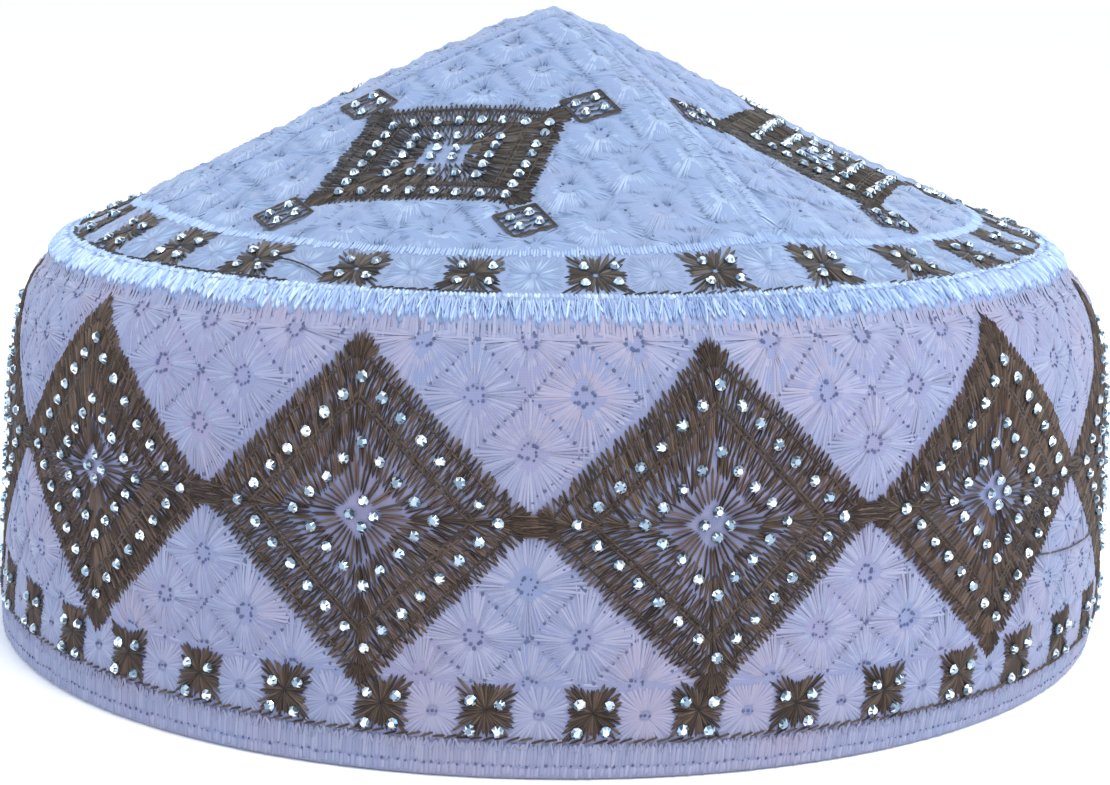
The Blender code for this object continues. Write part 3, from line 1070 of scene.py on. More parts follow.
for number in range(GORES):
    threads = []
    for spot in GORE_ROSETTES:
        threads += rosette(spot, GORE_ROSETTES, in_gore_field, CROWN_EYELET, CROWN_LIFT, CROWN_PAINTED_SHINE)
    name = f"gore_rosettes_{number + 1}"
    sew(name, threads, on_gore(number), SKY_PAINTED_PALE_THREAD, RAY, gore_bumps)
    print(name, "threads:", len(threads))

# %% [markdown]
# Needle holes show as small shaded spots: a ring of eleven round each rosette's middle, rows along
# the borders of the cells, and three together where the borders cross. Real holes could be cut, but
# they are half a millimetre wide, so each is a low dark cone, barely proud of the cloth. On the
# crown the soft threads hide most of them.

# %% One needle hole
HOLE_SIZE = 0.00050
HOLE_SIZES = (0.55, 1.25)
HOLE_LIFT = 0.00017
HOLE_THICKNESS = 0.0001


def make_hole():
    """A low cone with six sides, one across and one high."""
    bm = bmesh.new()
    bmesh.ops.create_cone(bm, cap_ends=True, segments=6, radius1=0.5, radius2=0.0, depth=1.0)
    bmesh.ops.triangulate(bm, faces=bm.faces)
    points = np.array([v.co[:] for v in bm.verts])
    faces = np.array([[v.index for v in f.verts] for f in bm.faces])
    bm.free()
    return points, faces


HOLE = make_hole()


def prick(name, spots, placing, bumps, size=HOLE_SIZE):
    """Places needle holes on the cloth."""
    points, faces = HOLE
    spots = np.array(spots)
    own_size = size * chance.uniform(*HOLE_SIZES, (len(spots), 1))
    x = spots[:, 0:1] + own_size * points[:, 0]
    y = spots[:, 1:2] + own_size * points[:, 1]
    proud = HOLE_LIFT + HOLE_THICKNESS * points[:, 2] + bumps(x, y)
    join_copies(name, placing(x, y, proud), faces, HOLE_SHADE)
    print(name, "holes:", len(spots))


def no_bumps(x, y):
    return 0 * x


print("faces in a hole:", len(HOLE[1]))

# %% The holes of the rosettes
HOLE_STEP = 0.0009
HOLE_SCATTER = 0.00012
RING_HOLES = 11
CROSSING_HOLES = 3
RING_WOBBLE = 0.3
RING_REACH = (0.8, 1.1)
CROWN_HOLES_SHOWING = 0.16


def rosette_holes(spots, inside):
    holes = []
    for spot in spots:
        places = np.arange(RING_HOLES) + chance.uniform(-RING_WOBBLE, RING_WOBBLE, RING_HOLES)
        turns = math.tau * places / RING_HOLES
        reach = EYELET * chance.uniform(*RING_REACH, (RING_HOLES, 1))
        holes += list(spot + reach * np.stack((np.cos(turns), np.sin(turns)), axis=1))
        for side_x, side_y in ((1, 1), (1, -1)):
            for step in np.arange(0.5, CELL / HOLE_STEP):
                along = step * HOLE_STEP
                holes.append(spot + np.array((side_x * along, side_y * (CELL - along))))
        holes += [spot + np.array((CELL, 0))] * CROSSING_HOLES
    return [hole + chance.normal(0, HOLE_SCATTER, 2) for hole in holes if inside(*hole)]


prick("band_holes", rosette_holes(BAND_ROSETTES, in_band_field), on_band, band_bumps)
for number in range(GORES):
    holes = rosette_holes(GORE_ROSETTES, in_gore_field)
    holes = [hole for hole in holes if chance.random() < CROWN_HOLES_SHOWING]
    prick(f"gore_holes_{number + 1}", holes, on_gore(number), gore_bumps)

# %% [markdown]
# Brown motifs
#
# A band motif is a diamond in four sides. Each side is rows of zigzag satin, one inside the other,
# with a running rib between them. Drawn as one texture it would look printed, so it is sewn. Every
# place in it is a side, a share along the side, and a reach: 1 on the outline and 0 in the middle.
# That way the same function also sews the crown's motif, from four other corners.

# %% Rows of zigzag
def motif_point(corners, side, along, reach):
    """A point on a motif's side, with reach 1 on its outline and 0 at its middle."""
    return reach * ((1 - along) * corners[side] + along * corners[(side + 1) % 4])


def zigzag(corners, side, row, width, lean):
    """Pairs of stitches that meet in points along the outer edge of a row."""
    outer, inner, pitch, fan, width_share = row
    run = np.linalg.norm(corners[side] - corners[(side + 1) % 4])
    depth = abs(np.cross(corners[side], corners[(side + 1) % 4])) / run * (outer - inner)
    teeth = max(2, round(outer * run / pitch))
    shift = lean * depth / (run * inner)
    rows = []
    for tooth in range(teeth):
        tip = (tooth + 0.5 + wobble(0.15)) / teeth
        start = motif_point(corners, side, tip, outer + wobble(0.020))
        for foot in (tooth, tooth + 1):
            square = 0.5 + (foot / teeth - 0.5) * outer / inner
            along = square + fan * (foot / teeth - square) + wobble(0.2) / teeth + shift
            end = motif_point(corners, side, min(1, max(0, along)), inner + wobble(0.015))
            rows.append(stitch_row(
                start,
                end,
                width=width * width_share * (1 + wobble(0.25)),
                lift=0.00014 + wobble(0.00008),
                thickness=0.00026,
                tone=chance.random(),
            ))
    return rows


print("ready to sew zigzags")

# %% [markdown]
# Between the rows a rib of running stitches shows as a thin dark line. At each corner the satin has
# to turn, and the machine leaves it blunt and ragged. A mitre would look too clean, so stitches
# spread out past the corner in a fan.

# %% Ribs and corners
RIB_DASH = 0.0017
RIB_OVERLAP = 0.12
CORNER_STITCHES = 19
CORNER_SPREAD = math.radians(42)
CORNER_HALF = 0.0010
CORNER_START = 0.83
CORNER_REACH = 0.0031
CORNER_ROUNDING = 0.0011


def rib(corners, side, reach, width, lift):
    """A line of running stitches along one side."""
    length = reach * np.linalg.norm(corners[side] - corners[(side + 1) % 4])
    count = max(2, round(length / RIB_DASH))
    rows = []
    for step in range(count):
        start = motif_point(corners, side, (step - RIB_OVERLAP) / count, reach + wobble(0.006))
        end = motif_point(corners, side, (step + 1 + RIB_OVERLAP) / count, reach + wobble(0.006))
        tone = chance.random() * 0.45
        rows.append(stitch_row(start, end, width, lift, thickness=0.00022, tone=tone))
    return rows


def corner_fan(tip):
    """Stitches that spread out past one corner, which leaves it blunt and ragged."""
    out = math.atan2(tip[1], tip[0])
    aside = CORNER_HALF * np.array((-math.sin(out), math.cos(out)))
    rows = []
    for number in range(CORNER_STITCHES):
        slant = 2 * (number + 0.5 + wobble(0.4)) / CORNER_STITCHES - 1
        turn = out + CORNER_SPREAD * slant
        start = CORNER_START * tip + slant * aside
        reach = CORNER_REACH - CORNER_ROUNDING * slant ** 2 + wobble(0.0006)
        rows.append(stitch_row(
            start,
            start + reach * np.array((math.cos(turn), math.sin(turn))),
            width=0.00036,
            lift=0.0002 + wobble(0.00006),
            thickness=0.0003,
            tone=0.6 * chance.random(),
        ))
    return rows


print("ready to sew corners")

# %% [markdown]
# The rows differ in pitch, and the inner ones fan in to the middle, where rays leave a star-shaped
# window of bare cloth. The rows could all be alike, but the real motif gets looser toward its
# middle. The stitches also lean differently on each side, as the real ones do.

# %% The rows of a motif
MOTIF_ROWS = (
    # outer, inner, pitch, how far the feet fan in, width of a stitch
    (1.000, 0.860, 0.00080, 0.00, 0.84),
    (0.930, 0.735, 0.00074, 0.20, 1.00),
    (0.790, 0.590, 0.00080, 0.35, 0.95),
    (0.665, 0.450, 0.00086, 0.60, 0.92),
    (0.485, 0.290, 0.00104, 0.90, 0.90),
)
MOTIF_RIBS = (
    # reach, width, lift
    (0.890, 0.00034, 0.00024),
    (0.655, 0.00045, 0.00022),
    (0.620, 0.00045, 0.00022),
)
SIDE_LEANS = (0.23, 0.0, -0.10, -0.42)
SIDE_WIDTHS = (0.00028, 0.00033, 0.00028, 0.00033)
WINDOW_RAYS = 10
WINDOW_CURVE = 1.5
WINDOW_RAY_END = 0.34


def window_rays(corners, side, window_tip, window_waist):
    """Rays round the window, which reaches out to its tips at the motif's corners."""
    rows = []
    for ray in range(WINDOW_RAYS):
        along = (ray + 0.5 + wobble(0.25)) / WINDOW_RAYS
        edge = window_waist + (window_tip - window_waist) * abs(2 * along - 1) ** WINDOW_CURVE
        start = motif_point(corners, side, along, edge + wobble(0.01))
        end = motif_point(corners, side, along + wobble(0.03), WINDOW_RAY_END + wobble(0.06))
        tone = chance.random()
        rows.append(stitch_row(start, end, width=0.00034, lift=0.00022, thickness=0.00035, tone=tone))
    return rows


def motif_stitches(corners, window_tip, window_waist, fineness=1.0):
    rows = []
    for side in range(4):
        for row in MOTIF_ROWS:
            rows += zigzag(corners, side, row, fineness * SIDE_WIDTHS[side], SIDE_LEANS[side])
        for reach, width, lift in MOTIF_RIBS:
            rows += rib(corners, side, reach, width, lift)
        rows += window_rays(corners, side, window_tip, window_waist)
        rows += corner_fan(corners[side])
    return np.array(rows)


def moved(rows, x, y):
    rows = rows.copy()
    rows[:, [0, 2]] += x
    rows[:, [1, 3]] += y
    return rows


print("rows in a motif:", len(MOTIF_ROWS))

# %% [markdown]
# Twelve diamonds stand corner to corner round the band. They could be one diamond copied twelve
# times, but a copy shows at once in such a row, so each is sewn anew with its own small errors. Long
# stitches tie every right corner to the next diamond.

# %% The band's diamonds
DIAMOND_HALF_TALL = 0.0249
DIAMOND_HALF_WIDE = 0.0254
DIAMOND_CORNERS = np.array((
    (0, DIAMOND_HALF_TALL),
    (DIAMOND_HALF_WIDE, 0),
    (0, -DIAMOND_HALF_TALL),
    (-DIAMOND_HALF_WIDE, 0),
))
BAND_WINDOW = (0.135, 0.122)
TIE_STITCHES = 22
TIE_SPREAD = 0.0014
TIE_LEAST_HALF = 0.0012


def corner_tie():
    """Long stitches that tie a diamond's right corner to the next diamond."""
    rows = []
    for _ in range(TIE_STITCHES):
        x = DIAMOND_PITCH / 2 + wobble(TIE_SPREAD)
        y = wobble(TIE_SPREAD)
        half = TIE_LEAST_HALF * (1 + chance.random())
        rows.append(stitch_row(
            (x - half, y + wobble(0.0004)),
            (x + half, y + wobble(0.0004)),
            width=0.00038,
            lift=0.00024 + wobble(0.00009),
            thickness=0.00035,
            tone=chance.random(),
        ))
    return np.array(rows)


for number in range(DIAMONDS):
    stitches = np.concatenate((motif_stitches(DIAMOND_CORNERS, *BAND_WINDOW), corner_tie()))
    stitches = moved(stitches, FIRST_DIAMOND + number * DIAMOND_PITCH, DIAMOND_HEIGHT)
    name = f"diamond_stitches_{number + 1:02d}"
    piece = sew(name, stitches, on_band, BROWN_THREAD)
    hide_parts(f"band_diamond_{number + 1:02d}")
print("stitches in a diamond:", len(stitches))

# %% [markdown]
# The crown's motif is the same design turned to a square. Off each corner stands a small square with
# a dark outline. It could be a filled patch, but the cloth shows through the real ones, so only a
# few slanting rows cross it.

# %% The small squares off the corners
PATCH_LINES = 5
PATCH_STEPS = 5
PATCH_OUTLINES = (
    # reach, width, lift
    (0.99, 0.00036, 0.00045),
    (0.93, 0.00030, 0.00040),
)
PATCH_FILL = 0.95


def corner_square(middle):
    """A small square on its corner: a dark outline with slanting rows across it."""
    tips = PATCH_HALF * np.array(((0, -1), (1, 0), (0, 1), (-1, 0)))
    rows = []
    for side in range(4):
        for reach, width, lift in PATCH_OUTLINES:
            rows += rib(tips, side, reach, width, lift)
    for line in range(PATCH_LINES):
        along = (line + 0.5) / PATCH_LINES
        start = motif_point(tips, 0, along, PATCH_FILL)
        way = motif_point(tips, 2, 1 - along, PATCH_FILL) - start
        for step in range(PATCH_STEPS):
            drift = wobble(0.0003)
            begin = start + way * (step + wobble(0.1)) / PATCH_STEPS + drift
            finish = start + way * (step + 1.15) / PATCH_STEPS - drift
            tone = chance.random()
            rows.append(stitch_row(begin, finish, width=0.00028, lift=0.00020, thickness=0.00024, tone=tone))
    return moved(np.array(rows), *middle)


print("rows across a small square:", PATCH_LINES)

# %% The crown's motifs
CROWN_WINDOW = (0.22, 0.20)
CROWN_FINENESS = 0.68
for number in range(GORES):
    motif = motif_stitches(MOTIF_CORNERS - MOTIF_MIDDLE, *CROWN_WINDOW, CROWN_FINENESS)
    stitches = [moved(motif, *MOTIF_MIDDLE)]
    stitches += [corner_square(middle) for middle in PATCH_MIDDLES]
    name = f"crown_motif_stitches_{number + 1}"
    piece = sew(name, np.concatenate(stitches), on_gore(number), SKY_PAINTED_BROWN_THREAD)
    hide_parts(f"crown_diamond_{number + 1}")
print("stitches in a crown motif:", sum(len(part) for part in stitches))

# %% [markdown]
# Small squares
#
# The rows along the hem and round the foot of the crown are little stars of brown stitches that fill
# a square. They stand on a running line of slanting dashes. A square could be rows of satin, but on
# the real cap every stitch starts in the middle, and the four corners are drawn out to spikes.

# %% Star squares
STAR_STITCHES = 42
CORNER_SPIKE = 0.12


def star_square(x, y, half_wide, half_tall, eyelet, shade):
    """Stitches from the middle out to a square, and past it at the four corners."""
    rows = []
    for number in range(STAR_STITCHES):
        turn = math.tau * (number + 0.5 + wobble(0.35)) / STAR_STITCHES
        cos, sin = math.cos(turn), math.sin(turn)
        border = min(half_wide / max(abs(cos), 1e-3), half_tall / max(abs(sin), 1e-3))
        spike = CORNER_SPIKE * abs(math.sin(2 * turn)) ** 3
        reach = border * (0.98 + spike + wobble(0.14))
        rows.append(stitch_row(
            (x + eyelet * cos, y + eyelet * sin),
            (x + reach * cos, y + reach * sin),
            width=0.00044 + wobble(0.00008),
            lift=0.00014 + wobble(0.00009),
            thickness=0.00028,
            tone=shade * chance.random(),
        ))
    return rows


print("ready to sew squares")

# %% Running lines
RUN_CHANGE = 0.35


def running_line(start, end, height, dash=0.0017, slant=0.0003, width=0.00036, showing=1.0):
    """Slanting dashes. The part that shows is what other stitches don't cover, in short runs."""
    count = round((end - start) / dash)
    rows = []
    shows = True
    for step in range(count):
        if chance.random() < RUN_CHANGE:
            shows = chance.random() < showing
        if not shows:
            continue
        x = start + (end - start) * step / count
        rows.append(stitch_row(
            (x, height - slant + wobble(0.0002)),
            (x + dash * 1.15, height + slant + wobble(0.0002)),
            width=width,
            lift=0.00022,
            thickness=0.0003,
            tone=chance.random() * 0.6,
        ))
    return rows


print("ready to sew running lines")

# %% The row above the hem
LOWER_SQUARES = 40
FIRST_LOWER_SQUARE = math.radians(2.85) * PATTERN_RADIUS
LOWER_SQUARE_HEIGHT = 0.0098
LOWER_HALF = 0.0037
LOWER_SHADE = 0.75
LINE_HEIGHT = 0.0058


def lower_place(square):
    """How far round the band a square of the lower row is sewn."""
    return FIRST_LOWER_SQUARE + square * WAY_ROUND / LOWER_SQUARES


stitches = running_line(0, WAY_ROUND, LINE_HEIGHT)
for square in range(LOWER_SQUARES):
    middle = (lower_place(square), LOWER_SQUARE_HEIGHT)
    stitches += star_square(*middle, LOWER_HALF, LOWER_HALF, eyelet=0.0, shade=LOWER_SHADE)
piece = sew("lower_square_stitches", stitches, on_band, BROWN_THREAD, RAY)
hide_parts("lower_square_row")
print("stitches in the lower row:", len(stitches))

# %% [markdown]
# Between the brown squares lie small wheels of pale thread, with three needle holes in the middle of
# each. They could be rosettes with a smaller cell, but they fill a square with rounded corners, so
# their reach is worked out for that shape.

# %% White sunbursts between the lower squares
SUNBURST_HEIGHT = 0.0093
SUNBURST_HALF = 0.0046
SUNBURST_THREADS = 44
SUNBURST_REACH = 1.12
SUNBURST_CORNER = 0.25
SUNBURST_START = 0.0005
SUNBURST_HOLES = (-0.0006, 0, 0.0006)


def sunburst(x, y, half):
    """A small wheel of threads that fills a square with rounded corners."""
    rows = []
    for thread in range(SUNBURST_THREADS):
        turn = math.tau * (thread + wobble(0.3)) / SUNBURST_THREADS
        cos, sin = math.cos(turn), math.sin(turn)
        squareness = max(1.0, abs(cos) + SUNBURST_CORNER, abs(sin) + SUNBURST_CORNER)
        reach = half * (SUNBURST_REACH + wobble(0.10)) / squareness
        rows.append(stitch_row(
            (x + SUNBURST_START * cos, y + SUNBURST_START * sin),
            (x + reach * cos, y + reach * sin),
            width=0.00040,
            lift=0.00003,
            thickness=0.00014,
            tone=chance.random(),
        ))
    return rows


threads = []
holes = []
for square in range(LOWER_SQUARES):
    x = lower_place(square + 0.5)
    threads += sunburst(x, SUNBURST_HEIGHT, SUNBURST_HALF)
    for step in SUNBURST_HOLES:
        holes.append((x + step + wobble(0.0001), SUNBURST_HEIGHT + wobble(0.0003)))
sew("lower_sunbursts", threads, on_band, PALE_THREAD, RAY)
prick("lower_holes", holes, on_band, no_bumps)
print("threads in the sunbursts:", len(threads))

# %% [markdown]
# The crown's foot
#
# Seven more squares stand along the foot of each gore. They could be sewn with the gore's own
# placing, but their row follows the round seam and not the gore's straight rows, so it has a placing
# function of its own: one number runs round the seam and the other is the radius.

# %% Placing along the crown's foot
CROWN_SQUARES = 7
CROWN_SQUARE_SHIFT = math.radians(-1.8) * SEAM_RADIUS
GORE_FOOT = SEAM_RADIUS * GORE_TURN
CROWN_SQUARE_PITCH = GORE_FOOT / CROWN_SQUARES
FOOT_ENDS = (-GORE_FOOT / 2, GORE_FOOT / 2)
FOOT_ROUNDS = 6


def on_foot(number):
    """Placing for a gore's foot: x runs round the seam and y is the radius."""
    def place(x, y, proud):
        turn = FIRST_GORE + number * GORE_TURN + x / SEAM_RADIUS
        return on_crown(turn, share_at(turn, y, FOOT_ROUNDS), proud)
    return place


def foot_place(square):
    """How far round a gore's foot a square is sewn."""
    return CROWN_SQUARE_SHIFT + (square - (CROWN_SQUARES - 1) / 2) * CROWN_SQUARE_PITCH


print(f"a gore's foot: {GORE_FOOT * 1000:.0f} mm")

# %% The crown's foot row
CROWN_SQUARE_RADIUS = 0.0763
CROWN_SQUARE_HALF_WIDE = 0.0044
CROWN_SQUARE_HALF_TALL = 0.0043
CROWN_LINE_RADIUS = 0.0809
for number in range(GORES):
    stitches = running_line(*FOOT_ENDS, CROWN_LINE_RADIUS, slant=-0.0003, width=0.00034, showing=0.6)
    for square in range(CROWN_SQUARES):
        middle = (foot_place(square), CROWN_SQUARE_RADIUS)
        half_sizes = (CROWN_SQUARE_HALF_WIDE, CROWN_SQUARE_HALF_TALL)
        stitches += star_square(*middle, *half_sizes, eyelet=0.0003, shade=1.0)
    name = f"crown_square_stitches_{number + 1}"
    piece = sew(name, stitches, on_foot(number), SKY_PAINTED_BROWN_THREAD, RAY)
    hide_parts(f"crown_square_row_{number + 1}")
print("stitches in a foot row:", len(stitches))

# %% [markdown]
# The same pale wheels lie between the crown's squares, half a step on from them. They could be a new
# kind of wheel, but they differ only in size, and their needle holes don't show.

# %% Pale sunbursts between the crown's squares
FOOT_SUNBURST_HALF = 0.0048
for number in range(GORES):
    threads = []
    for square in range(CROWN_SQUARES):
        threads += sunburst(foot_place(square + 0.5), CROWN_SQUARE_RADIUS, FOOT_SUNBURST_HALF)
    sew(f"foot_sunbursts_{number + 1}", threads, on_foot(number), SKY_PAINTED_PALE_THREAD, RAY)
print("threads in a gore's sunbursts:", len(threads))

# %% [markdown]
# Two loose threads lie on the cap, which the machine carried from one motif to the next and nobody
# trimmed. A curve with a round profile could stand for one, but a chain of stitches goes through the
# same placing as the rest, so it lies on the cloth without any fitting.

# %% Loose threads
JUMP_STEPS = 9
JUMP_OVERLAP = 0.15


def jump_thread(name, start, end, sag, placing):
    """A chain of stitches from one place to another, bowed by the sag in its middle."""
    start, end = np.array(start), np.array(end)
    rows = []
    for step in range(JUMP_STEPS):
        ends = []
        for share in ((step - JUMP_OVERLAP) / JUMP_STEPS, (step + 1 + JUMP_OVERLAP) / JUMP_STEPS):
            bow = sag * 4 * share * (1 - share)
            ends.append(start + share * (end - start) + (0, bow))
        tone = 0.15 * chance.random()
        rows.append(stitch_row(*ends, width=0.00032, lift=0.0005, thickness=0.00024, tone=tone))
    sew(name, rows, placing, BROWN_THREAD)


jump_thread(
    "loose_thread",
    start=(foot_place(2.22), CROWN_SQUARE_RADIUS - 0.0005),
    end=(foot_place(2.80), CROWN_SQUARE_RADIUS + 0.0030),
    sag=-0.0008,
    placing=on_foot(0),
)
jump_thread(
    "loose_thread_on_the_band",
    start=(math.radians(50.4) * PATTERN_RADIUS, 0.0243),
    end=(math.radians(72.0) * PATTERN_RADIUS, 0.0238),
    sag=-0.0012,
    placing=on_band,
)
print("two loose threads are left")

# %% [markdown]
# White borders
#
# Dense white satin covers the hem, the shoulder and the seams of the crown. A smooth roll with a
# stitched texture would be lighter, but the real borders are ragged and their stitches cast small
# shadows, so they are sewn too: upright stitches side by side, and zigzags.

# %% Satin and zigzag borders
WHOLE_WAY = (0, WAY_ROUND)


def satin(start, end, low, high, pitch, width, lift, thickness, ragged=0.0002, shine=1.0):
    """A row of upright stitches side by side."""
    count = round((end - start) / pitch)
    rows = []
    for step in range(count):
        x = start + (end - start) * (step + wobble(0.2)) / count
        rows.append(stitch_row(
            (x, low + wobble(ragged)),
            (x + wobble(0.0002), high + wobble(ragged)),
            width=width,
            lift=lift + wobble(0.00004),
            thickness=thickness,
            tone=shine * chance.random(),
        ))
    return rows


def crossing(start, end, low, high, pitch, width, lift, thickness):
    """A zigzag: each stitch starts where the last one ended."""
    count = round((end - start) / pitch)
    rows = []
    here = (start, low)
    for step in range(count):
        x = start + (end - start) * (step + 1) / count + wobble(0.6) * pitch
        y = (high if step % 2 == 0 else low) + wobble(0.0005)
        own_width = width * (1 + wobble(0.3))
        tone = 0.3 + 0.7 * chance.random()
        rows.append(stitch_row(here, (x, y), own_width, lift + wobble(0.0001), thickness, tone))
        here = (x, y)
    return rows


print("ready to sew borders")

# %% The hem's stitches
HEM_HOLE_SIZE = 0.00042
HEM_HOLE_STEP = 0.0012
HEM_HOLE_HEIGHT = 0.0020
HEM_HOLE_SCATTER = 0.0002
hem = satin(
    *WHOLE_WAY, low=0.0018, high=0.0053, pitch=0.00050,
    width=0.00052, lift=0.0, thickness=0.00020, ragged=0.0003,
)
hem += satin(
    *WHOLE_WAY, low=0.0004, high=0.0020, pitch=0.00056,
    width=0.00052, lift=-0.00003, thickness=0.00016, ragged=0.0003,
)
hem += crossing(
    *WHOLE_WAY, low=0.0040, high=0.0057, pitch=0.00050,
    width=0.00032, lift=0.00010, thickness=0.00020,
)
sew("hem_stitches", hem, on_band, PALE_THREAD)
holes = []
for x in np.arange(0, WAY_ROUND, HEM_HOLE_STEP):
    holes.append((x + wobble(HEM_HOLE_SCATTER), HEM_HOLE_HEIGHT + wobble(HEM_HOLE_SCATTER)))
prick("hem_holes", holes, on_band, no_bumps, HEM_HOLE_SIZE)
print("hem stitches:", len(hem))

# %% [markdown]
# The shoulder is the brightest ring of the cap. One row of satin could cover it, but its lower edge
# is ragged and a zigzag shows on top, so three layers lie over each other.

# %% The shoulder's stitches
edge = satin(
    *WHOLE_WAY, low=0.0600, high=0.0622, pitch=0.00042,
    width=0.00046, lift=0.00003, thickness=0.00010, ragged=0.0010,
)
sew("shoulder_edge", edge, on_band, PALE_THREAD, bumps=shoulder_pad)
shoulder = satin(
    *WHOLE_WAY, low=0.0618, high=0.0648, pitch=0.00055,
    width=0.00062, lift=0.0, thickness=0.0003, ragged=0.0004,
)
sew("shoulder_satin", shoulder, on_band, SHOULDER_THREAD, bumps=shoulder_pad)
crossed = crossing(
    *WHOLE_WAY, low=0.0617, high=0.0646, pitch=0.00056,
    width=0.00034, lift=0.00028, thickness=0.0003,
)
crossed += crossing(
    *WHOLE_WAY, low=0.0624, high=0.0648, pitch=0.00100,
    width=0.00030, lift=0.00030, thickness=0.0003,
)
sew("shoulder_zigzag", crossed, on_band, BRIGHT_THREAD, bumps=shoulder_pad)
print("shoulder stitches:", len(edge) + len(shoulder) + len(crossed))

# %% [markdown]
# Two satin lines run round the crown: a thin one above its row of squares, and a dense one along the
# seam. They could be part of the shoulder's roll, but they lie flat on the gores, so they are sewn
# with the placing of the gores' feet.

# %% The satin lines of the crown
for number in range(GORES):
    line = satin(
        *FOOT_ENDS, low=0.0694, high=0.0718, pitch=0.00050,
        width=0.00040, lift=0.00006, thickness=0.00016, ragged=0.0004, shine=0.55,
    )
    line += satin(
        *FOOT_ENDS, low=0.0807, high=0.0822, pitch=0.00062,
        width=0.00055, lift=0.0, thickness=0.0003,
    )
    sew(f"crown_line_{number + 1}", line, on_foot(number), BRIGHT_THREAD)
print("stitches in a crown line:", len(line))

# %% [markdown]
# The four seams of the crown are covered by short stitches that run down and out to both sides. A
# raised strip could stand for them, but each stitch catches the light by itself, so both sides are
# sewn and meet over the seam like a herringbone.

# %% The ridges
RIDGE_HALF = 0.0026
RIDGE_TOP = 0.0040
RIDGE_STITCHES = 190
RIDGE_LAP = 0.0003
RIDGE_SLANT = 0.0009
LEAST_RADIUS = 0.002


def on_ridge(number):
    """Placing for a ridge: x runs across it and y down its slope, as a radius."""
    def place(x, y, proud):
        turn = FIRST_RIDGE + number * GORE_TURN + x / np.maximum(y, LEAST_RADIUS)
        return on_crown(turn, y / SEAM_RADIUS, proud)
    return place


for number in range(GORES):
    rows = []
    for side in (-1, 1):
        for step in range(RIDGE_STITCHES):
            y = RIDGE_TOP + (SEAM_RADIUS - RIDGE_TOP) * (step + wobble(0.4)) / RIDGE_STITCHES
            rows.append(stitch_row(
                (-side * RIDGE_LAP, y),
                (side * (RIDGE_HALF - RIDGE_LAP + wobble(0.0007)), y + RIDGE_SLANT + wobble(0.0006)),
                width=0.00044,
                lift=0.00006 + wobble(0.00003),
                thickness=0.00010,
                tone=0.25 + 0.4 * chance.random(),
            ))
    piece = sew(f"ridge_stitches_{number + 1}", rows, on_ridge(number), SKY_PAINTED_PALE_THREAD)
    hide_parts(f"crown_ridge_{number + 1}")
print("stitches in a ridge:", len(rows))

# %% [markdown]
# Glass stones
#
# The stones are heat-set glass, 1.7 mm across: a round girdle, eight facets and a flat table. A cut
# ball would do from afar, but the facets are what glitters. So one stone is made from a few rings of
# a circle, and then all are placed like the stitches.

# %% One stone
STONE_RADIUS = 0.00086
STONE_HEIGHT = 0.00078
STONE_SIDES = 8
STONE_RINGS = (
    # share of the radius, share of the height, turn in steps
    (1.00, 0.00, 0.0),
    (0.97, 0.30, 0.0),
    (0.50, 0.92, 0.5),
)
TABLE_FACES_UP = 0.95
RIM_FACES_UP = 0.3


def make_stone():
    bm = bmesh.new()
    rings = []
    for share, height, turn in STONE_RINGS:
        spin = Matrix.Rotation(math.tau * turn / STONE_SIDES, 4, "Z")
        lift = Matrix.Translation((0, 0, height))
        made = bmesh.ops.create_circle(bm, segments=STONE_SIDES, radius=share, matrix=lift @ spin)
        rings.append({e for v in made["verts"] for e in v.link_edges})
    for low, high in zip(rings, rings[1:]):
        bmesh.ops.bridge_loops(bm, edges=list(low | high))
    bmesh.ops.holes_fill(bm, edges=[e for e in bm.edges if e.is_boundary])
    bmesh.ops.triangulate(bm, faces=bm.faces)
    bmesh.ops.recalc_face_normals(bm, faces=bm.faces)
    points = np.array([v.co[:] for v in bm.verts])
    faces = np.array([[v.index for v in f.verts] for f in bm.faces])
    table = np.array([f.normal.z > TABLE_FACES_UP for f in bm.faces])
    rim = np.array([abs(f.normal.z) < RIM_FACES_UP for f in bm.faces])
    bm.free()
    return points, faces, table, rim


STONE = make_stone()
print("faces in a stone:", len(STONE[1]))

# %% [markdown]
# How bright each facet is could be left to the lamps, but a few soft lamps give few glints at this
# size. So every facet gets a painted glint, a brightness of its own drawn by chance, and the rim's
# facets get painted shade.

# %% Setting stones
FACET_TONES = (0.05, 0.30, 0.55, 0.80, 1.0)
TONE_SHARES = (0.26, 0.26, 0.22, 0.16, 0.10)
TABLE_TONES = (0.25, 0.95)
RIM_SHADE = 0.35
STONE_SIZES = (0.94, 1.06)
STONE_LIFT = 0.00045


def set_stones(name, spots, placing):
    """Sets a stone at each x and y, each turned its own way."""
    points, faces, table, rim = STONE
    spots = np.array(spots)
    turn = chance.uniform(0, math.tau, len(spots))[:, None]
    size = chance.uniform(*STONE_SIZES, len(spots))[:, None] * STONE_RADIUS
    x = spots[:, 0:1] + size * (points[:, 0] * np.cos(turn) - points[:, 1] * np.sin(turn))
    y = spots[:, 1:2] + size * (points[:, 0] * np.sin(turn) + points[:, 1] * np.cos(turn))
    proud = STONE_LIFT + STONE_HEIGHT * points[:, 2] + 0 * x
    piece = join_copies(name, placing(x, y, proud), faces, STONE_GLASS)
    # Painted glints drawn by chance for every facet; the rim's facets are darkened as painted shade.
    painted_glint = chance.choice(FACET_TONES, (len(spots), len(faces)), p=TONE_SHARES)
    painted_glint[:, table] = chance.uniform(*TABLE_TONES, (len(spots), 1))
    painted_glint[:, rim] *= RIM_SHADE
    facets = piece.data.attributes.new("facet", "FLOAT", "FACE")
    facets.data.foreach_set("value", painted_glint.ravel().astype(np.float32))
    piece.data.shade_flat()
    print(name, "stones:", len(spots))


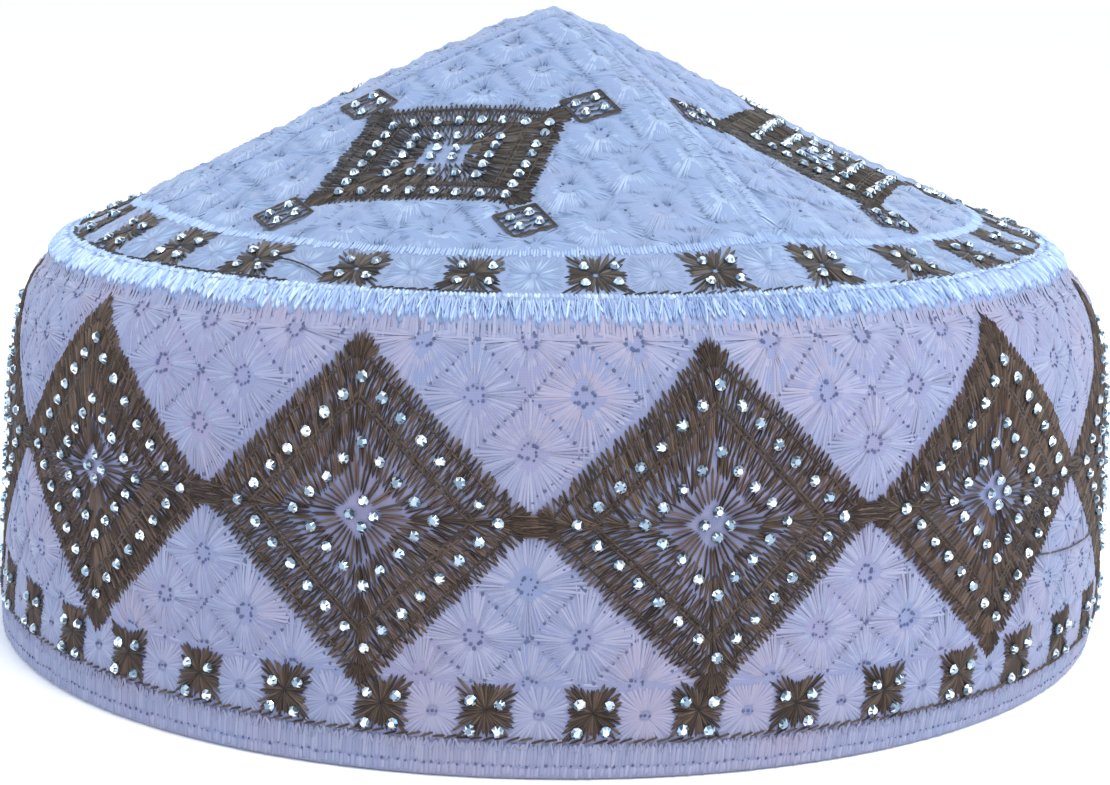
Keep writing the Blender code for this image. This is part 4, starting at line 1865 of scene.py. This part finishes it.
def stone_rows(corners, rows):
    """Stones along the four sides of each row: reach, and stones for each side."""
    spots = []
    for reach, count in rows:
        for side in range(4):
            spots += [motif_point(corners, side, step / count, reach) for step in range(count)]
    return np.array(spots)


print("levels of brightness for a facet:", len(FACET_TONES))

# %% The stones of the diamonds
STONE_ROWS = (
    # reach, stones for each side
    (1.0, 7),
    (0.530, 4),
)
BAND_STONE_CORNERS = np.array(((0, 0.0185), (0.0190, 0), (0, -0.0185), (-0.0190, 0)))
WINDOW_STONES = 0.0018 * np.array(((0, 1), (1, 0), (0, -1), (-1, 0)))
STONE_SHIFT = 0.0007
BAND_STONE_SCATTER = 0.00009
diamond_spots = np.concatenate((stone_rows(BAND_STONE_CORNERS, STONE_ROWS), WINDOW_STONES))
spots = []
for number in range(DIAMONDS):
    jitter = chance.normal(0, BAND_STONE_SCATTER, diamond_spots.shape)
    middle = (FIRST_DIAMOND + number * DIAMOND_PITCH + STONE_SHIFT, DIAMOND_HEIGHT)
    spots.append(diamond_spots + middle + jitter)
set_stones("band_stones", np.concatenate(spots), on_band)

# %% [markdown]
# Every small square carries four stones, one toward each corner. Those of a row could be one copied
# group, but the real ones sit a little unevenly, so each group gets its own small errors.

# %% The stones of the small squares
LOWER_STONE_STEP = 0.0020
LOWER_STONE_DROP = 0.0008
CROWN_STONE_STEP = np.array((0.0023, 0.0019))
CROWN_STONE_SHIFT = np.array((0.0006, 0.0003))
SQUARE_STONE_SCATTER = 0.00013
FOUR = np.array(((-1, -1), (1, -1), (1, 1), (-1, 1)))
spots = []
for square in range(LOWER_SQUARES):
    jitter = chance.normal(0, SQUARE_STONE_SCATTER, FOUR.shape)
    middle = (lower_place(square), LOWER_SQUARE_HEIGHT - LOWER_STONE_DROP)
    spots.append(FOUR * LOWER_STONE_STEP + middle + jitter)
set_stones("lower_stones", np.concatenate(spots), on_band)

# %% [markdown]
# A crown motif carries two rows of stones, four in its window and four in each small square off its
# corners. They could follow the motif's own corners, but the real ones lie a little askew to it, so
# they have corners of their own.

# %% The stones of the crown
CROWN_STONE_CORNERS = np.array((
    (-0.0129, 0.0382),
    (0.0121, 0.0360),
    (0.0124, 0.0555),
    (-0.0140, 0.0567),
)) - MOTIF_MIDDLE
CORNER_STONES = np.array(((0, -0.0021), (0.0023, 0), (0, 0.0021), (-0.0023, 0)))
CROWN_WINDOW_STONES = FOUR * (0.0016, 0.0012)
CROWN_STONE_SCATTER = 0.0001
for number in range(GORES):
    spots = [stone_rows(CROWN_STONE_CORNERS, STONE_ROWS) + MOTIF_MIDDLE]
    spots.append(CROWN_WINDOW_STONES + MOTIF_MIDDLE)
    spots += [CORNER_STONES + middle for middle in PATCH_MIDDLES]
    spots = np.concatenate(spots)
    spots = spots + chance.normal(0, CROWN_STONE_SCATTER, spots.shape)
    set_stones(f"crown_stones_{number + 1}", spots, on_gore(number))
    foot = []
    for square in range(CROWN_SQUARES):
        jitter = chance.normal(0, SQUARE_STONE_SCATTER, FOUR.shape)
        middle = np.array((foot_place(square), CROWN_SQUARE_RADIUS)) + CROWN_STONE_SHIFT
        foot.append(FOUR * CROWN_STONE_STEP + middle + jitter)
    set_stones(f"foot_stones_{number + 1}", np.concatenate(foot), on_foot(number))

# %% [markdown]
# The stage
#
# The cap stands on a plain pale floor. It could be cut out and laid over a flat colour, but the soft
# shadow round the hem belongs to the picture, so the floor is real and its colour is nearly even.

# %% Floor
FLOOR_HALF = 6.0
FLOOR_DROP = 0.0001
bm = bmesh.new()
bmesh.ops.create_grid(bm, x_segments=1, y_segments=1, size=FLOOR_HALF)
floor_mesh = bpy.data.meshes.new("floor")
bm.to_mesh(floor_mesh)
bm.free()
floor_mesh.transform(Matrix.Translation((0, 0, -FLOOR_DROP)))
floor = bpy.data.objects.new("floor", floor_mesh)
bpy.context.scene.collection.objects.link(floor)
FLOOR_LOOK = new_look("pale floor", Roughness=0.9, Specular_IOR_Level=0.1)
floor_noise = add(FLOOR_LOOK, "ShaderNodeTexNoise", Vector=object_place(FLOOR_LOOK), Scale=3.0)
floor_tint = blend_colours(FLOOR_LOOK, floor_noise, (0.960, 0.962, 0.965), (0.975, 0.975, 0.978))
finish_look(FLOOR_LOOK, floor_tint)
floor_mesh.materials.append(FLOOR_LOOK)
print("floor is laid")

# %% [markdown]
# The light is soft and comes from above and in front, with a bluish one from either side. A sky
# picture could give it, but four round lamps and an even sky say plainly where the light comes from.

# %% Light
SKY_COLOUR = (0.93, 0.955, 1.0, 1)
SKY_STRENGTH = 1.10
LAMPS = (
    # name, place, aim, size, power, colour
    ("sky light", (0.35, -0.45, 0.9), (0, 0, 0.06), 0.45, 5.9, (1.0, 0.98, 0.93)),
    ("front light", (0.2, -1.1, 0.4), (0, 0, 0.05), 0.4, 2.2, (1.0, 0.98, 0.93)),
    ("left fill", (-0.8, -0.15, 0.25), (0, 0, 0.04), 0.4, 1.9, (0.30, 0.62, 1.0)),
    ("right fill", (0.8, -0.15, 0.20), (0, 0, 0.03), 0.4, 2.0, (0.30, 0.65, 1.0)),
)


def add_area_light(name, place, aim, size, power, colour):
    lamp = bpy.data.lights.new(name, "AREA")
    lamp.shape = "DISK"
    lamp.size = size
    lamp.energy = power
    lamp.color = colour
    holder = bpy.data.objects.new(name, lamp)
    facing = (Vector(place) - Vector(aim)).to_track_quat("Z", "Y").to_matrix().to_4x4()
    holder.matrix_world = Matrix.Translation(place) @ facing
    bpy.context.scene.collection.objects.link(holder)


for lamp in LAMPS:
    add_area_light(*lamp)
world = bpy.data.worlds.new("studio")
world.use_nodes = True
world.node_tree.nodes["Background"].inputs["Color"].default_value = SKY_COLOUR
world.node_tree.nodes["Background"].inputs["Strength"].default_value = SKY_STRENGTH
bpy.context.scene.world = world
bpy.context.scene.view_settings.view_transform = "Standard"

# %% [markdown]
# The camera looks from a little above the cap, with a long lens. Its place, its angles and its focal
# length in pixels could be set by eye, but they come from a fit to the cap's outline and its motifs.

# %% Camera
CAMERA_PLACE = (-0.0007, -0.38556, 0.11005)
CAMERA_PITCH = 0.18972
CAMERA_YAW = 0.00303
CAMERA_ROLL = 0.01324
FOCAL_PIXELS = 2251.2
PHOTO_WIDTH = 1110
camera_data = bpy.data.cameras.new("camera")
camera_data.sensor_width = 36.0
camera_data.lens = FOCAL_PIXELS / PHOTO_WIDTH * camera_data.sensor_width
camera_data.clip_start = 0.01
camera = bpy.data.objects.new("camera", camera_data)
turned = Matrix.Rotation(-CAMERA_YAW, 4, "Z") @ Matrix.Rotation(math.pi / 2 - CAMERA_PITCH, 4, "X")
camera.matrix_world = Matrix.Translation(CAMERA_PLACE) @ turned @ Matrix.Rotation(CAMERA_ROLL, 4, "Z")
bpy.context.scene.collection.objects.link(camera)
bpy.context.scene.camera = camera
print("lens:", round(camera_data.lens, 2), "mm")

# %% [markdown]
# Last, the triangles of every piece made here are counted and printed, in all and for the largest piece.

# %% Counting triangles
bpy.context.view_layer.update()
pieces = [o for o in bpy.data.objects if o.type == "MESH" and o.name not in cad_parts]
triangles = [len(piece.data.loops) - 2 * len(piece.data.polygons) for piece in pieces]
print("triangles in all:", sum(triangles), "and in the largest piece:", max(triangles))
